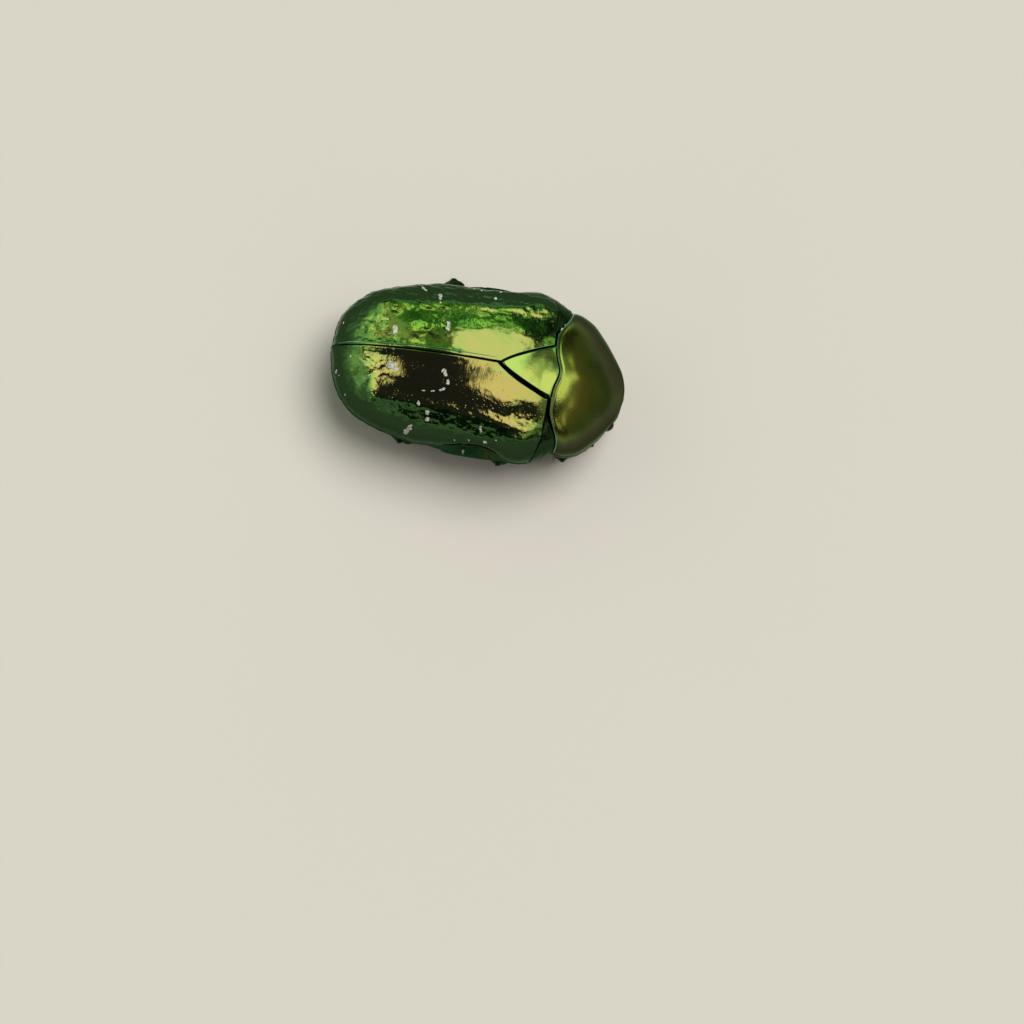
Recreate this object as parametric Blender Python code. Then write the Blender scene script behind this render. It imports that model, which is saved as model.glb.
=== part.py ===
"""A green flower chafer beetle, life size, at rest with its legs drawn in.

Frame: +X to the head, +Y to the beetle's left, +Z up, and the floor at Z = 0.
Every size below is in millimetres. The meshes are written in metres.
"""
import math

import bmesh
import bpy
from mathutils import Matrix, Vector

MM = 0.001
GAP = 0.2               # clear space between one hard piece and the next
PLATE = 0.5             # thickness of a wing case or of a body plate
CENTRE_SHIFT = 0.37     # moves the whole body so that the origin is at its middle

# Wing cases, seen from above
APEX_X = -8.65
ELYTRON_FRONT = 3.1
REAR_TURN = -3.4        # behind this station the sides draw in and round to the apex
REAR_TAPER = 0.19       # loss of half width for each millimetre behind that station
REAR_POWER = 3.1
REAR_LAST_ANGLE = math.radians(88.3)
ELYTRA_SIDE = [(REAR_TURN, 4.47), (-1.9, 4.43), (-0.5, 4.26), (0.3, 4.25), (1.1, 4.48),
               (1.7, 4.72), (2.4, 4.8), (3.2, 4.62)]
VAULT_SIDE = [(REAR_TURN, 4.47), (-1.0, 4.53), (1.0, 4.68), (2.4, 4.8), (3.2, 4.62)]
NOTCH_REACH = 0.62      # share of the wing case's height that the notch behind the shoulder draws in
SHOULDER_BACK = 0.15    # how far the shoulder lies behind the inner front corner
SHOULDER_Y = 4.4        # half width at which it does so
SEAM_GAP = 0.24         # clear space between the two wing cases

# Wing cases, seen from the side
CREST_X = 0.5
CREST_Z = 7.9
CREST_DROP = 0.3        # fall of the back from its crest to the front edge
APEX_Z = 3.8
REAR_FALL_POWER = 2.4
MARGIN_Z = [(APEX_X, 3.65), (-5.0, 3.65), (-2.5, 3.95), (-0.3, 4.5), (1.2, 4.4), (3.3, 4.1)]
ARCH = 0.8              # roundness of a cross-section: 1 is an ellipse, less is boxier

# Knobs, ribs and seam of a wing case: (x, y), stretch along x, reach and height
SHOULDER_KNOB = {"x": 1.9, "y": 3.3, "stretch": 1.3, "reach": 0.7, "height": 0.2}
REAR_KNOB = {"x": -6.2, "y": 2.5, "stretch": 1.1, "reach": 0.75, "height": 0.26}
OUTER_RIB = {"y_front": 3.3, "y_rear": 2.5, "reach": 0.3, "height": 0.09, "rear_end": (-6.5, -5.0)}
INNER_RIB = {"y": 1.55, "reach": 0.3, "height": 0.06, "rear_end": (-6.0, -5.0),
             "front_end": (-1.5, 0.5)}
SEAM_RIDGE = {"reach": 0.32, "height": 0.1, "front_end": (-3.0, 0.5)}
SEAM_FURROW = {"y": 0.75, "reach": 0.3, "depth": 0.06}
ELYTRON_COLUMNS = [0, 0.05, 0.1, 0.17, 0.25, 0.34, 0.43, 0.52, 0.61, 0.7, 0.79, 0.87, 0.94, 1]

# Scutellum, the small triangle between the wing cases
SCUTELLUM_TIP = 0.27
SCUTELLUM_HALF = 1.42
SCUTELLUM_POWER = 0.78
SCUTELLUM_SUNK = 0.03   # it lies this far under the vault of the back
SCUTELLUM_ROWS = (1.0, 0.85, 0.7, 0.52, 0.34, 0.18, 0.07, 0.02)

# Pronotum, from its base (0) to its front edge (1)
BASE_X = 3.32
BASE_ANGLE_X = 4.1      # the hind corners reach further forward than the middle
BASE_NOTCH = 0.1
FRONT_X = 7.68
FRONT_BOW = 0.65        # how far the front corners lie behind the middle of the front edge
PRONOTUM_HALF = [(0, 3.95), (0.13, 4.0), (0.25, 3.95), (0.5, 3.66), (0.75, 3.05), (0.9, 2.5),
                 (1, 1.95)]
PRONOTUM_TOP = [(0, 7.5), (0.25, 7.3), (0.5, 6.8), (0.75, 6.05), (1, 5.1)]
PRONOTUM_EDGE = [(0, 4.4), (0.5, 4.0), (1, 4.05)]
PRONOTUM_BELLY = [(0, 2.3), (0.6, 2.3), (1, 2.7)]
UNDERCUT = 1.9          # the front face leans back by this much towards the throat
BASE_NOTCH_REACH = 0.8
BASE_ANGLE_REACH = (1.9, 3.9)
# Roundness of a cross-section above and below its side edge: across it, and up or down
PRONOTUM_UPPER = (0.95, 0.85)
PRONOTUM_LOWER = (1.2, 0.9)

# Body under the wing cases
DOME_INSET = 0.85
FRONT_NARROWING = 0.28  # share of its width that the thorax loses towards the neck
BODY_SIDE = [(-7.5, 2.75), (-6.4, 3.45), (-4.6, 4.0), (-3.0, 4.35), (-1.6, 4.72), (0.0, 4.82),
             (1.3, 4.72), (2.6, 4.4), (2.75, 3.2), (3.4, 2.6)]
BODY_BELLY = [(-7.5, 2.45), (-6.4, 2.36), (-4.5, 2.3), (-1.0, 2.25), (2.0, 2.2), (3.4, 2.3)]
WAIST_X = -0.7          # where the thorax ends and the abdomen begins
STERNITE_LENGTH = 1.02
STERNITE_STEP = 0.08
TAIL_X = -7.25          # rear end of the abdomen, just inside the last plate of the back
TAIL_BOW = 0.12         # how far each millimetre of width bends that end forward, by its square
TAIL_SLANT = 0.7        # how far the belly's end lies in front of the back's

# Last plate of the back, from its upper edge (0) to its lower edge (1)
PYGIDIUM_HALF = 2.75
PYGIDIUM_TOP = (-8.12, 3.42)
PYGIDIUM_FOOT = (-7.35, 2.4)
PYGIDIUM_BULGE = 0.3

# Head, measured along its own axis from the neck
HEAD_PITCH = math.radians(78)
HEAD_ASIDE = -0.2       # the head and the front of the pronotum are held a little to the right
HEAD_ROOT = Vector((6.95, HEAD_ASIDE, 4.15))
HEAD_HALF = [(0, 1.15), (0.4, 1.5), (1.0, 1.58), (1.5, 1.3), (2.0, 1.24), (2.5, 1.28), (2.85, 1.12)]
HEAD_ROOF = [(0, 0.6), (0.5, 0.8), (1.0, 0.76), (1.5, 0.6), (2.0, 0.44), (2.6, 0.38), (2.85, 0.48)]
HEAD_FLOOR = [(0, 0.6), (0.5, 0.75), (1.0, 0.75), (1.5, 0.6), (2.0, 0.42), (2.6, 0.2), (2.85, 0.06)]
HEAD_RIDGE = 0.08       # low ridge along the middle of the face, and the raised rim at its sides
HEAD_LENGTH = 2.85
CLYPEUS_NOTCH = 0.16
EYE_PLACE = (0.72, 1.46, 0.0)
EYE_SIZE = (0.48, 0.4, 0.48)

# Feelers and palps on the left: points, and places in a joint with the size there
ANTENNA_ROOT = (1.62, 1.76, -0.1)       # along the head, sideways and out of its face
ANTENNA_BENDS = [(6.85, 1.95, 2.58), (6.45, 2.05, 2.7)]
ANTENNA_WIDTHS = [0.26, 0.25, 0.25, 0.25]
ANTENNA_SWELL = [(0.05, 0.9), (0.5, 1.1), (0.95, 0.9)]
CLUB_ROOT = (6.3, 1.48, 2.5)
CLUB_TIP = (6.15, 1.3, 1.3)
CLUB_ROOT_SIZE = 0.16
CLUB_SWELL = 0.26
CLUB_FLATNESS = 0.85
PALP_ROOT = (1.75, 0.55, -0.82)
PALP_BENDS = [(6.55, 0.62, 2.05), (6.35, 0.55, 1.45)]
PALP_WIDTHS = [0.25, 0.26, 0.27]
PALP_SWELL = [(0.05, 0.85), (0.5, 1.05), (0.95, 0.8)]

# Side plate in the wedge before the shoulder
SIDE_PLATE_HALF = (4.66, 4.08)          # half widths at its hind and front edge
SIDE_PLATE_Z = 4.1
SIDE_PLATE_RISE = 3.3
SIDE_PLATE_FALL = 1.2
SIDE_PLATE_TURN = 50                    # degrees that it reaches above and below its middle
SIDE_PLATE_NARROWEST = 0.12

# Legs: the left leg's points, mirrored for the right leg
LEGS = {
    "fore": {
        "coxa": (5.1, 0.62, 2.0), "coxa_size": (0.5, 0.45, 0.62),
        "hip": (5.15, 0.95, 1.62), "knee": (5.0, 3.62, 2.0), "ankle": (6.8, 2.05, 0.8),
        "toes": [(6.85, 1.5, 0.3), (6.4, 1.05, 0.27), (5.8, 0.82, 0.27), (5.1, 0.67, 0.27)],
        "femur": (0.55, 0.4), "tibia": (0.5, 0.28), "teeth": (0.5, 0.72, 0.95),
    },
    "mid": {
        "coxa": (1.9, 0.95, 1.95), "coxa_size": (0.5, 0.6, 0.55),
        "hip": (1.9, 1.35, 1.6), "knee": (1.72, 4.6, 1.9), "ankle": (-0.95, 2.85, 0.8),
        "toes": [(-1.35, 2.6, 0.3), (-2.1, 2.2, 0.27), (-2.9, 1.85, 0.27), (-3.6, 1.6, 0.27)],
        "femur": (0.6, 0.42), "tibia": (0.42, 0.3), "teeth": (0.55,),
    },
    "hind": {
        "coxa": (-1.3, 1.5, 2.1), "coxa_size": (0.6, 1.35, 0.5),
        "hip": (-2.2, 1.1, 1.62), "knee": (-3.95, 4.2, 1.9), "ankle": (-6.3, 2.15, 0.8),
        "toes": [(-6.6, 1.85, 0.3), (-7.0, 1.4, 0.27), (-7.0, 0.9, 0.27), (-6.5, 0.55, 0.27)],
        "femur": (0.68, 0.42), "tibia": (0.45, 0.32), "teeth": (0.55,),
    },
}
# Places along a thigh or shin, with the share of its full size there
FEMUR_SHAPE = [(0, 0.45), (0.06, 0.66), (0.18, 0.86), (0.35, 1.0), (0.52, 0.98), (0.7, 0.84),
               (0.86, 0.7), (0.96, 0.6), (1, 0.45)]
TIBIA_SHAPE = [(0, 0.4), (0.05, 0.62), (0.12, 0.6), (0.3, 0.62), (0.55, 0.76), (0.8, 0.95),
               (0.94, 1.0), (1, 0.8)]
TOOTH_REACH = 0.95      # from root to tip, as a share of the shin's half width
TOOTH_SLANT = 0.3
CLAW_LENGTH = 0.62
CLAW_SPREAD = (0.1, 0.3)
CLAW_SIZES = [0.14, 0.12, 0.09, 0.03]
LEFT_HIND = {"hip": (-2.3, 1.2, 1.55), "knee": (-2.2, 5.3, 2.5), "ankle": (-5.3, 3.2, 0.8),
             "toes": [(-5.65, 2.9, 0.3), (-6.2, 2.4, 0.27), (-6.8, 1.9, 0.27), (-7.2, 1.3, 0.27)]}

# Finishes: colour, metallic, roughness
FINISHES = {
    "pronotum_green": ((0.05, 0.22, 0.04), 0.9, 0.3),
    "wing_case_green": ((0.10, 0.42, 0.08), 1.0, 0.2),
    "scutellum_green": ((0.14, 0.5, 0.07), 1.0, 0.16),
    "side_plate_green": ((0.03, 0.2, 0.07), 0.9, 0.3),
    "underside_green": ((0.02, 0.12, 0.05), 0.8, 0.35),
    "head_green": ((0.03, 0.2, 0.06), 0.9, 0.3),
    "leg_green": ((0.02, 0.09, 0.04), 0.7, 0.35),
    "foot_black": ((0.01, 0.015, 0.012), 0.2, 0.4),
    "eye_brown": ((0.04, 0.02, 0.01), 0.0, 0.15),
    "feeler_brown": ((0.05, 0.025, 0.012), 0.0, 0.4),
}


def along(stations, position):
    """Smooth curve through (position, value) stations, read at one position."""
    if position <= stations[0][0]:
        return stations[0][1]
    if position >= stations[-1][0]:
        return stations[-1][1]
    index = max(n for n, station in enumerate(stations[:-1]) if station[0] <= position)

    def slope(n):
        before = stations[max(n - 1, 0)]
        after = stations[min(n + 1, len(stations) - 1)]
        return (after[1] - before[1]) / (after[0] - before[0])

    start, low = stations[index]
    end, high = stations[index + 1]
    span = end - start
    t = (position - start) / span
    from_low = (2 * t**3 - 3 * t**2 + 1) * low + (t**3 - 2 * t**2 + t) * span * slope(index)
    from_high = (3 * t**2 - 2 * t**3) * high + (t**3 - t**2) * span * slope(index + 1)
    return from_low + from_high


def spread(start, end, count):
    """Evenly spaced values from start to end, both included."""
    return [start + (end - start) * n / (count - 1) for n in range(count)]


def eased(value, start, end):
    """0 before start, 1 after end, and a smooth change between."""
    t = min(max((value - start) / (end - start), 0.0), 1.0)
    return t * t * (3 - 2 * t)


def bump(distance, reach):
    """A round bump of height 1 that fades out over its reach."""
    return math.exp(-((distance / reach) ** 2))


def signed_power(value, power):
    return math.copysign(abs(value) ** power, value)


def side_sign(side):
    return 1 if side == "left" else -1


def finish(name):
    """The material of one object, a copy of its named finish."""
    colour, metallic, roughness = FINISHES[name]
    material = bpy.data.materials.new(name)
    material.use_nodes = True
    shader = material.node_tree.nodes["Principled BSDF"]
    shader.inputs["Base Color"].default_value = (*colour, 1)
    shader.inputs["Metallic"].default_value = metallic
    shader.inputs["Roughness"].default_value = roughness
    return material


def new_object(name, points, faces, finish_name):
    """A named object from points in millimetres, with its faces turned outwards."""
    mesh = bpy.data.meshes.new(name)
    mesh.from_pydata([Vector((p[0] + CENTRE_SHIFT, p[1], p[2])) * MM for p in points], [], faces)
    shape = bmesh.new()
    shape.from_mesh(mesh)
    bmesh.ops.recalc_face_normals(shape, faces=shape.faces)
    shape.to_mesh(mesh)
    shape.free()
    mesh.materials.append(finish(finish_name))
    item = bpy.data.objects.new(name, mesh)
    bpy.context.scene.collection.objects.link(item)
    return item


def loft(name, rings, finish_name):
    """A closed body through rings of points, with a fan of faces over each end."""
    size = len(rings[0])
    points = [point for ring in rings for point in ring]
    faces = []
    for row in range(len(rings) - 1):
        for n in range(size):
            after = (n + 1) % size
            faces.append((row * size + n, row * size + after,
                          (row + 1) * size + after, (row + 1) * size + n))
    for row, ring in ((0, rings[0]), (len(rings) - 1, rings[-1])):
        points.append(sum((Vector(p) for p in ring), Vector()) / size)
        for n in range(size):
            faces.append((row * size + n, row * size + (n + 1) % size, len(points) - 1))
    return new_object(name, points, faces, finish_name)


def grid_normals(grid, outward):
    """The normal at each point of a grid, on the side that the outward vector points to."""
    rows = len(grid)
    columns = len(grid[0])
    normals = []
    for i in range(rows):
        line = []
        for j in range(columns):
            down = grid[min(i + 1, rows - 1)][j] - grid[max(i - 1, 0)][j]
            across = grid[i][min(j + 1, columns - 1)] - grid[i][max(j - 1, 0)]
            normal = down.cross(across).normalized()
            line.append(normal)
        normals.append(line)
    middle = normals[rows // 2][columns // 2]
    if middle.dot(Vector(outward)) < 0:
        normals = [[-normal for normal in line] for line in normals]
    return normals


def shell(name, grid, thickness, finish_name, outward=(0, 0, 1), square=None, off_middle=0.0):
    """A plate whose outer face is the grid. square names the axes (0, 1, 2) that the
    thickness leaves alone along its first row, last row, first and last column, and
    off_middle is the least distance of its inner face from the middle plane of the body."""
    square = square or {}
    normals = grid_normals(grid, outward)
    rows = len(grid)
    columns = len(grid[0])
    inner = []
    for i in range(rows):
        line = []
        for j in range(columns):
            step = normals[i][j] * thickness
            edges = {"first_row": i == 0, "last_row": i == rows - 1,
                     "first_column": j == 0, "last_column": j == columns - 1}
            for edge, touched in edges.items():
                if touched and edge in square:
                    step[square[edge]] = 0.0
            place = grid[i][j] - step
            if off_middle:
                place.y = math.copysign(max(abs(place.y), off_middle), grid[i][j].y)
            line.append(place)
        inner.append(line)
    points = [point for line in grid for point in line]
    points += [point for line in inner for point in line]
    back = rows * columns
    faces = []
    for i in range(rows - 1):
        for j in range(columns - 1):
            a = i * columns + j
            b = a + columns
            faces.append((a, a + 1, b + 1, b))
            faces.append((back + a, back + b, back + b + 1, back + a + 1))
    border = [(0, j) for j in range(columns)]
    border += [(i, columns - 1) for i in range(1, rows)]
    border += [(rows - 1, j) for j in range(columns - 2, -1, -1)]
    border += [(i, 0) for i in range(rows - 2, 0, -1)]
    for n, (i, j) in enumerate(border):
        next_i, next_j = border[(n + 1) % len(border)]
        a = i * columns + j
        b = next_i * columns + next_j
        faces.append((a, b, back + b, back + a))
    return new_object(name, points, faces, finish_name)


def tube(name, path, wide, thick, wide_axis, sides, finish_name, floor=None):
    """A limb along a path: wide and thick are its half sizes at each point."""
    rings = []
    path = [Vector(point) for point in path]
    for n, point in enumerate(path):
        direction = (path[min(n + 1, len(path) - 1)] - path[max(n - 1, 0)]).normalized()
        across = Vector(wide_axis)
        across = (across - direction * across.dot(direction)).normalized()
        upward = direction.cross(across)
        ring = []
        for k in range(sides):
            angle = 2 * math.pi * (k + 0.5) / sides
            place = point + across * wide[n] * math.cos(angle) + upward * thick[n] * math.sin(angle)
            if floor is not None:
                place.z = max(place.z, floor)
            ring.append(place)
        rings.append(ring)
    return loft(name, rings, finish_name)


def ellipsoid(name, centre, radii, finish_name, turn=None, sides=12, rings=7):
    """A closed egg shape, turned by a rotation matrix where one is given."""
    turn = turn or Matrix.Identity(3)
    points = []
    faces = []
    for row in range(1, rings):
        polar = math.pi * row / rings
        for k in range(sides):
            angle = 2 * math.pi * (k + 0.5) / sides
            local = Vector((math.sin(polar) * math.cos(angle) * radii[0],
                            math.sin(polar) * math.sin(angle) * radii[1],
                            math.cos(polar) * radii[2]))
            points.append(Vector(centre) + turn @ local)
    for row in range(rings - 2):
        for k in range(sides):
            after = (k + 1) % sides
            faces.append((row * sides + k, row * sides + after,
                          (row + 1) * sides + after, (row + 1) * sides + k))
    for row, polar_sign in ((0, 1), (rings - 2, -1)):
        points.append(Vector(centre) + turn @ Vector((0, 0, polar_sign * radii[2])))
        for k in range(sides):
            faces.append((row * sides + k, row * sides + (k + 1) % sides, len(points) - 1))
    return new_object(name, points, faces, finish_name)


def keep_largest(mesh):
    """Leaves only the largest closed surface of a mesh, in triangles."""
    shape = bmesh.new()
    shape.from_mesh(mesh)
    bmesh.ops.dissolve_degenerate(shape, edges=shape.edges, dist=1e-7)
    bmesh.ops.triangulate(shape, faces=shape.faces)
    unseen = set(shape.faces)
    islands = []
    while unseen:
        island = set()
        waiting = [unseen.pop()]
        while waiting:
            face = waiting.pop()
            island.add(face)
            for edge in face.edges:
                for other in edge.link_faces:
                    if other in unseen:
                        unseen.remove(other)
                        waiting.append(other)
        islands.append(island)
    largest = max(islands, key=lambda island: sum(face.calc_area() for face in island))
    scraps = [face for island in islands if island is not largest for face in island]
    bmesh.ops.delete(shape, geom=scraps, context="FACES")
    shape.to_mesh(mesh)
    shape.free()


def combine(body, others, operation):
    """Joins the other objects to a body, or cuts them out of it, and removes them."""
    group = bpy.data.collections.new(body.name + "_pieces")
    bpy.context.scene.collection.children.link(group)
    for other in others:
        group.objects.link(other)
    step = body.modifiers.new("combine", "BOOLEAN")
    step.operation = operation
    step.operand_type = "COLLECTION"
    step.collection = group
    step.solver = "EXACT"
    evaluated = body.evaluated_get(bpy.context.evaluated_depsgraph_get())
    mesh = bpy.data.meshes.new_from_object(evaluated)
    body.modifiers.clear()
    body.data = mesh
    for other in others:
        bpy.data.objects.remove(other, do_unlink=True)
    bpy.data.collections.remove(group)
    keep_largest(mesh)
    mesh.materials.clear()
    mesh.materials.append(finish(body["finish"]))
    return body


def half_width(x):
    """Half the width over the wing cases at a station."""
    if x >= REAR_TURN:
        return along(ELYTRA_SIDE, x)
    share = min((REAR_TURN - x) / (REAR_TURN - APEX_X), 1.0)
    taper = ELYTRA_SIDE[0][1] - REAR_TAPER * (REAR_TURN - x)
    return taper * (1 - share**REAR_POWER) ** (1 / REAR_POWER)


def vault_half(x):
    """Half the width of the vault above its margin, which has no notch behind the shoulder."""
    return along(VAULT_SIDE, x) if x >= REAR_TURN else half_width(x)


def back_height(x):
    """Height of the middle of the back at a station."""
    if x >= CREST_X:
        return CREST_Z - CREST_DROP * ((x - CREST_X) / (ELYTRON_FRONT - CREST_X)) ** 2
    share = min((CREST_X - x) / (CREST_X - APEX_X), 1.0)
    return APEX_Z + (CREST_Z - APEX_Z) * (1 - share**REAR_FALL_POWER) ** (1 / REAR_FALL_POWER)


def scutellum_half(x):
    """Half the width of the scutellum at a station, and 0 behind its tip."""
    share = (x - SCUTELLUM_TIP) / (ELYTRON_FRONT - SCUTELLUM_TIP)
    return SCUTELLUM_HALF * min(max(share, 0.0), 1.0) ** SCUTELLUM_POWER


def shoulder_shift(x, y):
    """How far the rows near the shoulder bend back towards the side."""
    return SHOULDER_BACK * eased(x, -1.0, ELYTRON_FRONT) * (abs(y) / SHOULDER_Y) ** 5


def elytron_front_x(y):
    return ELYTRON_FRONT - shoulder_shift(ELYTRON_FRONT, y)


def knob_height(knob, x, y):
    distance = math.hypot((x - knob["x"]) / knob["stretch"], y - knob["y"])
    return knob["height"] * bump(distance, knob["reach"])


def elytron_relief(x, y):
    """Height of the knobs, ribs and raised seam over the smooth vault."""
    share = (SHOULDER_KNOB["x"] - x) / (SHOULDER_KNOB["x"] - REAR_KNOB["x"])
    rib_y = OUTER_RIB["y_front"] + (OUTER_RIB["y_rear"] - OUTER_RIB["y_front"]) * share
    outer = OUTER_RIB["height"] * bump(y - rib_y, OUTER_RIB["reach"])
    outer *= eased(x, *OUTER_RIB["rear_end"])
    inner = INNER_RIB["height"] * bump(y - INNER_RIB["y"], INNER_RIB["reach"])
    inner *= eased(x, *INNER_RIB["rear_end"]) * (1 - eased(x, *INNER_RIB["front_end"]))
    ridge = SEAM_RIDGE["height"] * bump(y, SEAM_RIDGE["reach"])
    furrow = SEAM_FURROW["depth"] * bump(y - SEAM_FURROW["y"], SEAM_FURROW["reach"])
    seam = (ridge - furrow) * (1 - eased(x, *SEAM_RIDGE["front_end"]))
    return knob_height(SHOULDER_KNOB, x, y) + knob_height(REAR_KNOB, x, y) + outer + inner + seam


def elytron_rows():
    """Stations from the front edge of a wing case to its apex."""
    tip = SCUTELLUM_TIP
    straight = spread(ELYTRON_FRONT, tip + 0.35, 6) + [tip + 0.12, tip, tip - GAP]
    straight += spread(tip - 0.8, REAR_TURN, 6)
    length = REAR_TURN - APEX_X
    angles = spread(0, REAR_LAST_ANGLE, 15)[1:]
    return straight + [REAR_TURN - length * math.sin(a) ** (2 / REAR_POWER) for a in angles]


def elytron(side):
    """One wing case: a vaulted plate with its knobs, ribs and raised seam."""
    sign = side_sign(side)
    grid = []
    for x in elytron_rows():
        wide = vault_half(x)
        low = along(MARGIN_Z, x)
        rise = back_height(x) - low
        beside_scutellum = eased(x, SCUTELLUM_TIP - GAP, SCUTELLUM_TIP + 1)
        inner = SEAM_GAP / 2 + scutellum_half(x + GAP) + GAP / 2 * beside_scutellum
        start = math.acos((inner / wide) ** (1 / ARCH))
        row = []
        for share in ELYTRON_COLUMNS:
            angle = start * (1 - share)
            height = math.sin(angle) ** ARCH
            notch = (wide - half_width(x)) * (1 - eased(height, 0, NOTCH_REACH))
            y = wide * math.cos(angle) ** ARCH - notch
            z = low + rise * height
            row.append(Vector((x - shoulder_shift(x, y), sign * y, z)))
        grid.append(row)
    normals = grid_normals(grid, (0, 0, 1))
    for row, line in zip(grid, normals):
        for n, normal in enumerate(line):
            height = elytron_relief(row[n].x, abs(row[n].y))
            step = normal * height
            if n == 0:
                step.y = 0
            row[n] += step
    square = {"first_row": 0, "first_column": 1, "last_column": 2}
    return shell("elytron_" + side, grid, PLATE, "wing_case_green", (0, 0, 1), square, SEAM_GAP / 2)


def dorsal_height(x, y):
    """Height of the smooth vault of the back at a point seen from above."""
    low = along(MARGIN_Z, x)
    share = min(abs(y) / vault_half(x), 1.0)
    return low + (back_height(x) - low) * (1 - share ** (2 / ARCH)) ** (ARCH / 2)


def scutellum():
    """The triangular plate between the bases of the wing cases."""
    grid = []
    for share in SCUTELLUM_ROWS:
        x = SCUTELLUM_TIP + (ELYTRON_FRONT - SCUTELLUM_TIP) * share
        half = scutellum_half(x)
        row = []
        for across in spread(-1, 1, 9):
            y = half * across
            row.append(Vector((x, y, dorsal_height(x, y) - SCUTELLUM_SUNK)))
        grid.append(row)
    square = {"first_row": 0, "first_column": 1, "last_column": 1}
    return shell("scutellum", grid, PLATE, "scutellum_green", (0, 0, 1), square)


def base_x(y):
    """Rear edge of the pronotum: two shallow lobes, and corners that reach forward."""
    out = eased(abs(y), *BASE_ANGLE_REACH)
    return BASE_X + BASE_NOTCH * bump(y, BASE_NOTCH_REACH) + (BASE_ANGLE_X - BASE_X) * out


def prothorax_rings(count, sides):
    """Rings of the first body ring, from its base to its front edge."""
    rings = []
    for share in spread(0, 1, count):
        wide = along(PRONOTUM_HALF, share)
        top = along(PRONOTUM_TOP, share)
        edge = along(PRONOTUM_EDGE, share)
        belly = along(PRONOTUM_BELLY, share)
        ring = []
        for n in range(sides):
            angle = 2 * math.pi * n / sides
            over = math.sin(angle)
            if over >= 0:
                y = wide * signed_power(math.cos(angle), PRONOTUM_UPPER[0])
                z = edge + (top - edge) * over ** PRONOTUM_UPPER[1]
            else:
                y = wide * signed_power(math.cos(angle), PRONOTUM_LOWER[0])
                z = edge - (edge - belly) * abs(over) ** PRONOTUM_LOWER[1]
            front = FRONT_X - FRONT_BOW * (y / wide) ** 2
            x = base_x(y) * (1 - share) + front * share
            if over < 0:
                x -= UNDERCUT * share**2 * (edge - z) / (edge - belly)
            ring.append(Vector((x, y + HEAD_ASIDE * share, z)))
        rings.append(ring)
    return rings


def prothorax(head_cutter, socket_cutters):
    """The pronotum with its underside, hollowed for the head and the fore coxae."""
    body = loft("prothorax", prothorax_rings(12, 32), "pronotum_green")
    body["finish"] = "pronotum_green"
    return combine(body, [head_cutter] + socket_cutters, "DIFFERENCE")


def mirrored(point, sign):
    """A point of the left side, or its mirror image on the right."""
    return Vector((point[0], sign * point[1], point[2]))


def beside_head(point, sign):
    """A point of the left side or its mirror image, moved aside with the head."""
    return mirrored(point, sign) + Vector((0, HEAD_ASIDE, 0))


def head_frame():
    """Axes of the head: along it towards the mouth, sideways, and out of its face."""
    axis = Vector((math.cos(HEAD_PITCH), 0, -math.sin(HEAD_PITCH)))
    face = Vector((math.sin(HEAD_PITCH), 0, math.cos(HEAD_PITCH)))
    return axis, Vector((0, 1, 0)), face


def head_point(down, out, up):
    axis, sideways, face = head_frame()
    return HEAD_ROOT + axis * down + sideways * out + face * up


def head_loft(name, grow):
    """The head capsule, or a slightly larger copy of it when grow is above 0."""
    rings = []
    stations = [-grow] + spread(0, HEAD_LENGTH, 10) if grow else spread(0, HEAD_LENGTH, 10)
    if grow:
        stations.append(HEAD_LENGTH + grow)
    for down in stations:
        at = min(max(down, 0), HEAD_LENGTH)
        wide = along(HEAD_HALF, at) + grow
        roof = along(HEAD_ROOF, at) + grow
        floor = along(HEAD_FLOOR, at) + grow
        ring = []
        for n in range(28):
            angle = 2 * math.pi * n / 28
            out = wide * signed_power(math.cos(angle), 0.86)
            rise = math.sin(angle)
            up = (roof if rise >= 0 else floor) * signed_power(rise, 0.8)
            rim = bump(abs(out) - wide * 0.93, 0.14) * eased(at, 1.2, 1.8)
            ridge = bump(out, 0.22) * (1 - eased(at, 1.6, 2.4))
            up += HEAD_RIDGE * (rim + ridge) * eased(rise, 0.05, 0.3)
            notch = CLYPEUS_NOTCH * bump(out, 0.45) * eased(at, 2.2, HEAD_LENGTH)
            ring.append(head_point(down - notch * (0 if grow else 1), out, up))
        rings.append(ring)
    return loft(name, rings, "head_green")


def head_turn():
    axis, sideways, face = head_frame()
    return Matrix((axis, sideways, face)).transposed()


def eye(side, grow=0.0):
    sign = side_sign(side)
    down, out, up = EYE_PLACE
    radii = [radius + grow for radius in EYE_SIZE]
    name = "eye_" + side + ("_socket" if grow else "")
    centre = head_point(down, sign * out, up)
    return ellipsoid(name, centre, radii, "eye_brown", head_turn(), 14, 8)


def head():
    """The head capsule with a socket for each eye."""
    body = head_loft("head", 0.0)
    body["finish"] = "head_green"
    return combine(body, [eye("left", GAP), eye("right", GAP)], "DIFFERENCE")


def beads(path, widths, each):
    """Points and half sizes along a path, swelling once for each joint."""
    path = [Vector(point) for point in path]
    lengths = [0.0]
    for before, after in zip(path, path[1:]):
        lengths.append(lengths[-1] + (after - before).length)
    stations = [[(length, point[axis]) for length, point in zip(lengths, path)] for axis in range(3)]
    count = len(widths)
    points = []
    sizes = []
    for n, width in enumerate(widths):
        for share, swell in each:
            place = lengths[-1] * (n + share) / count
            points.append(Vector([along(stations[axis], place) for axis in range(3)]))
            sizes.append(width * swell)
    return points, sizes


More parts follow.
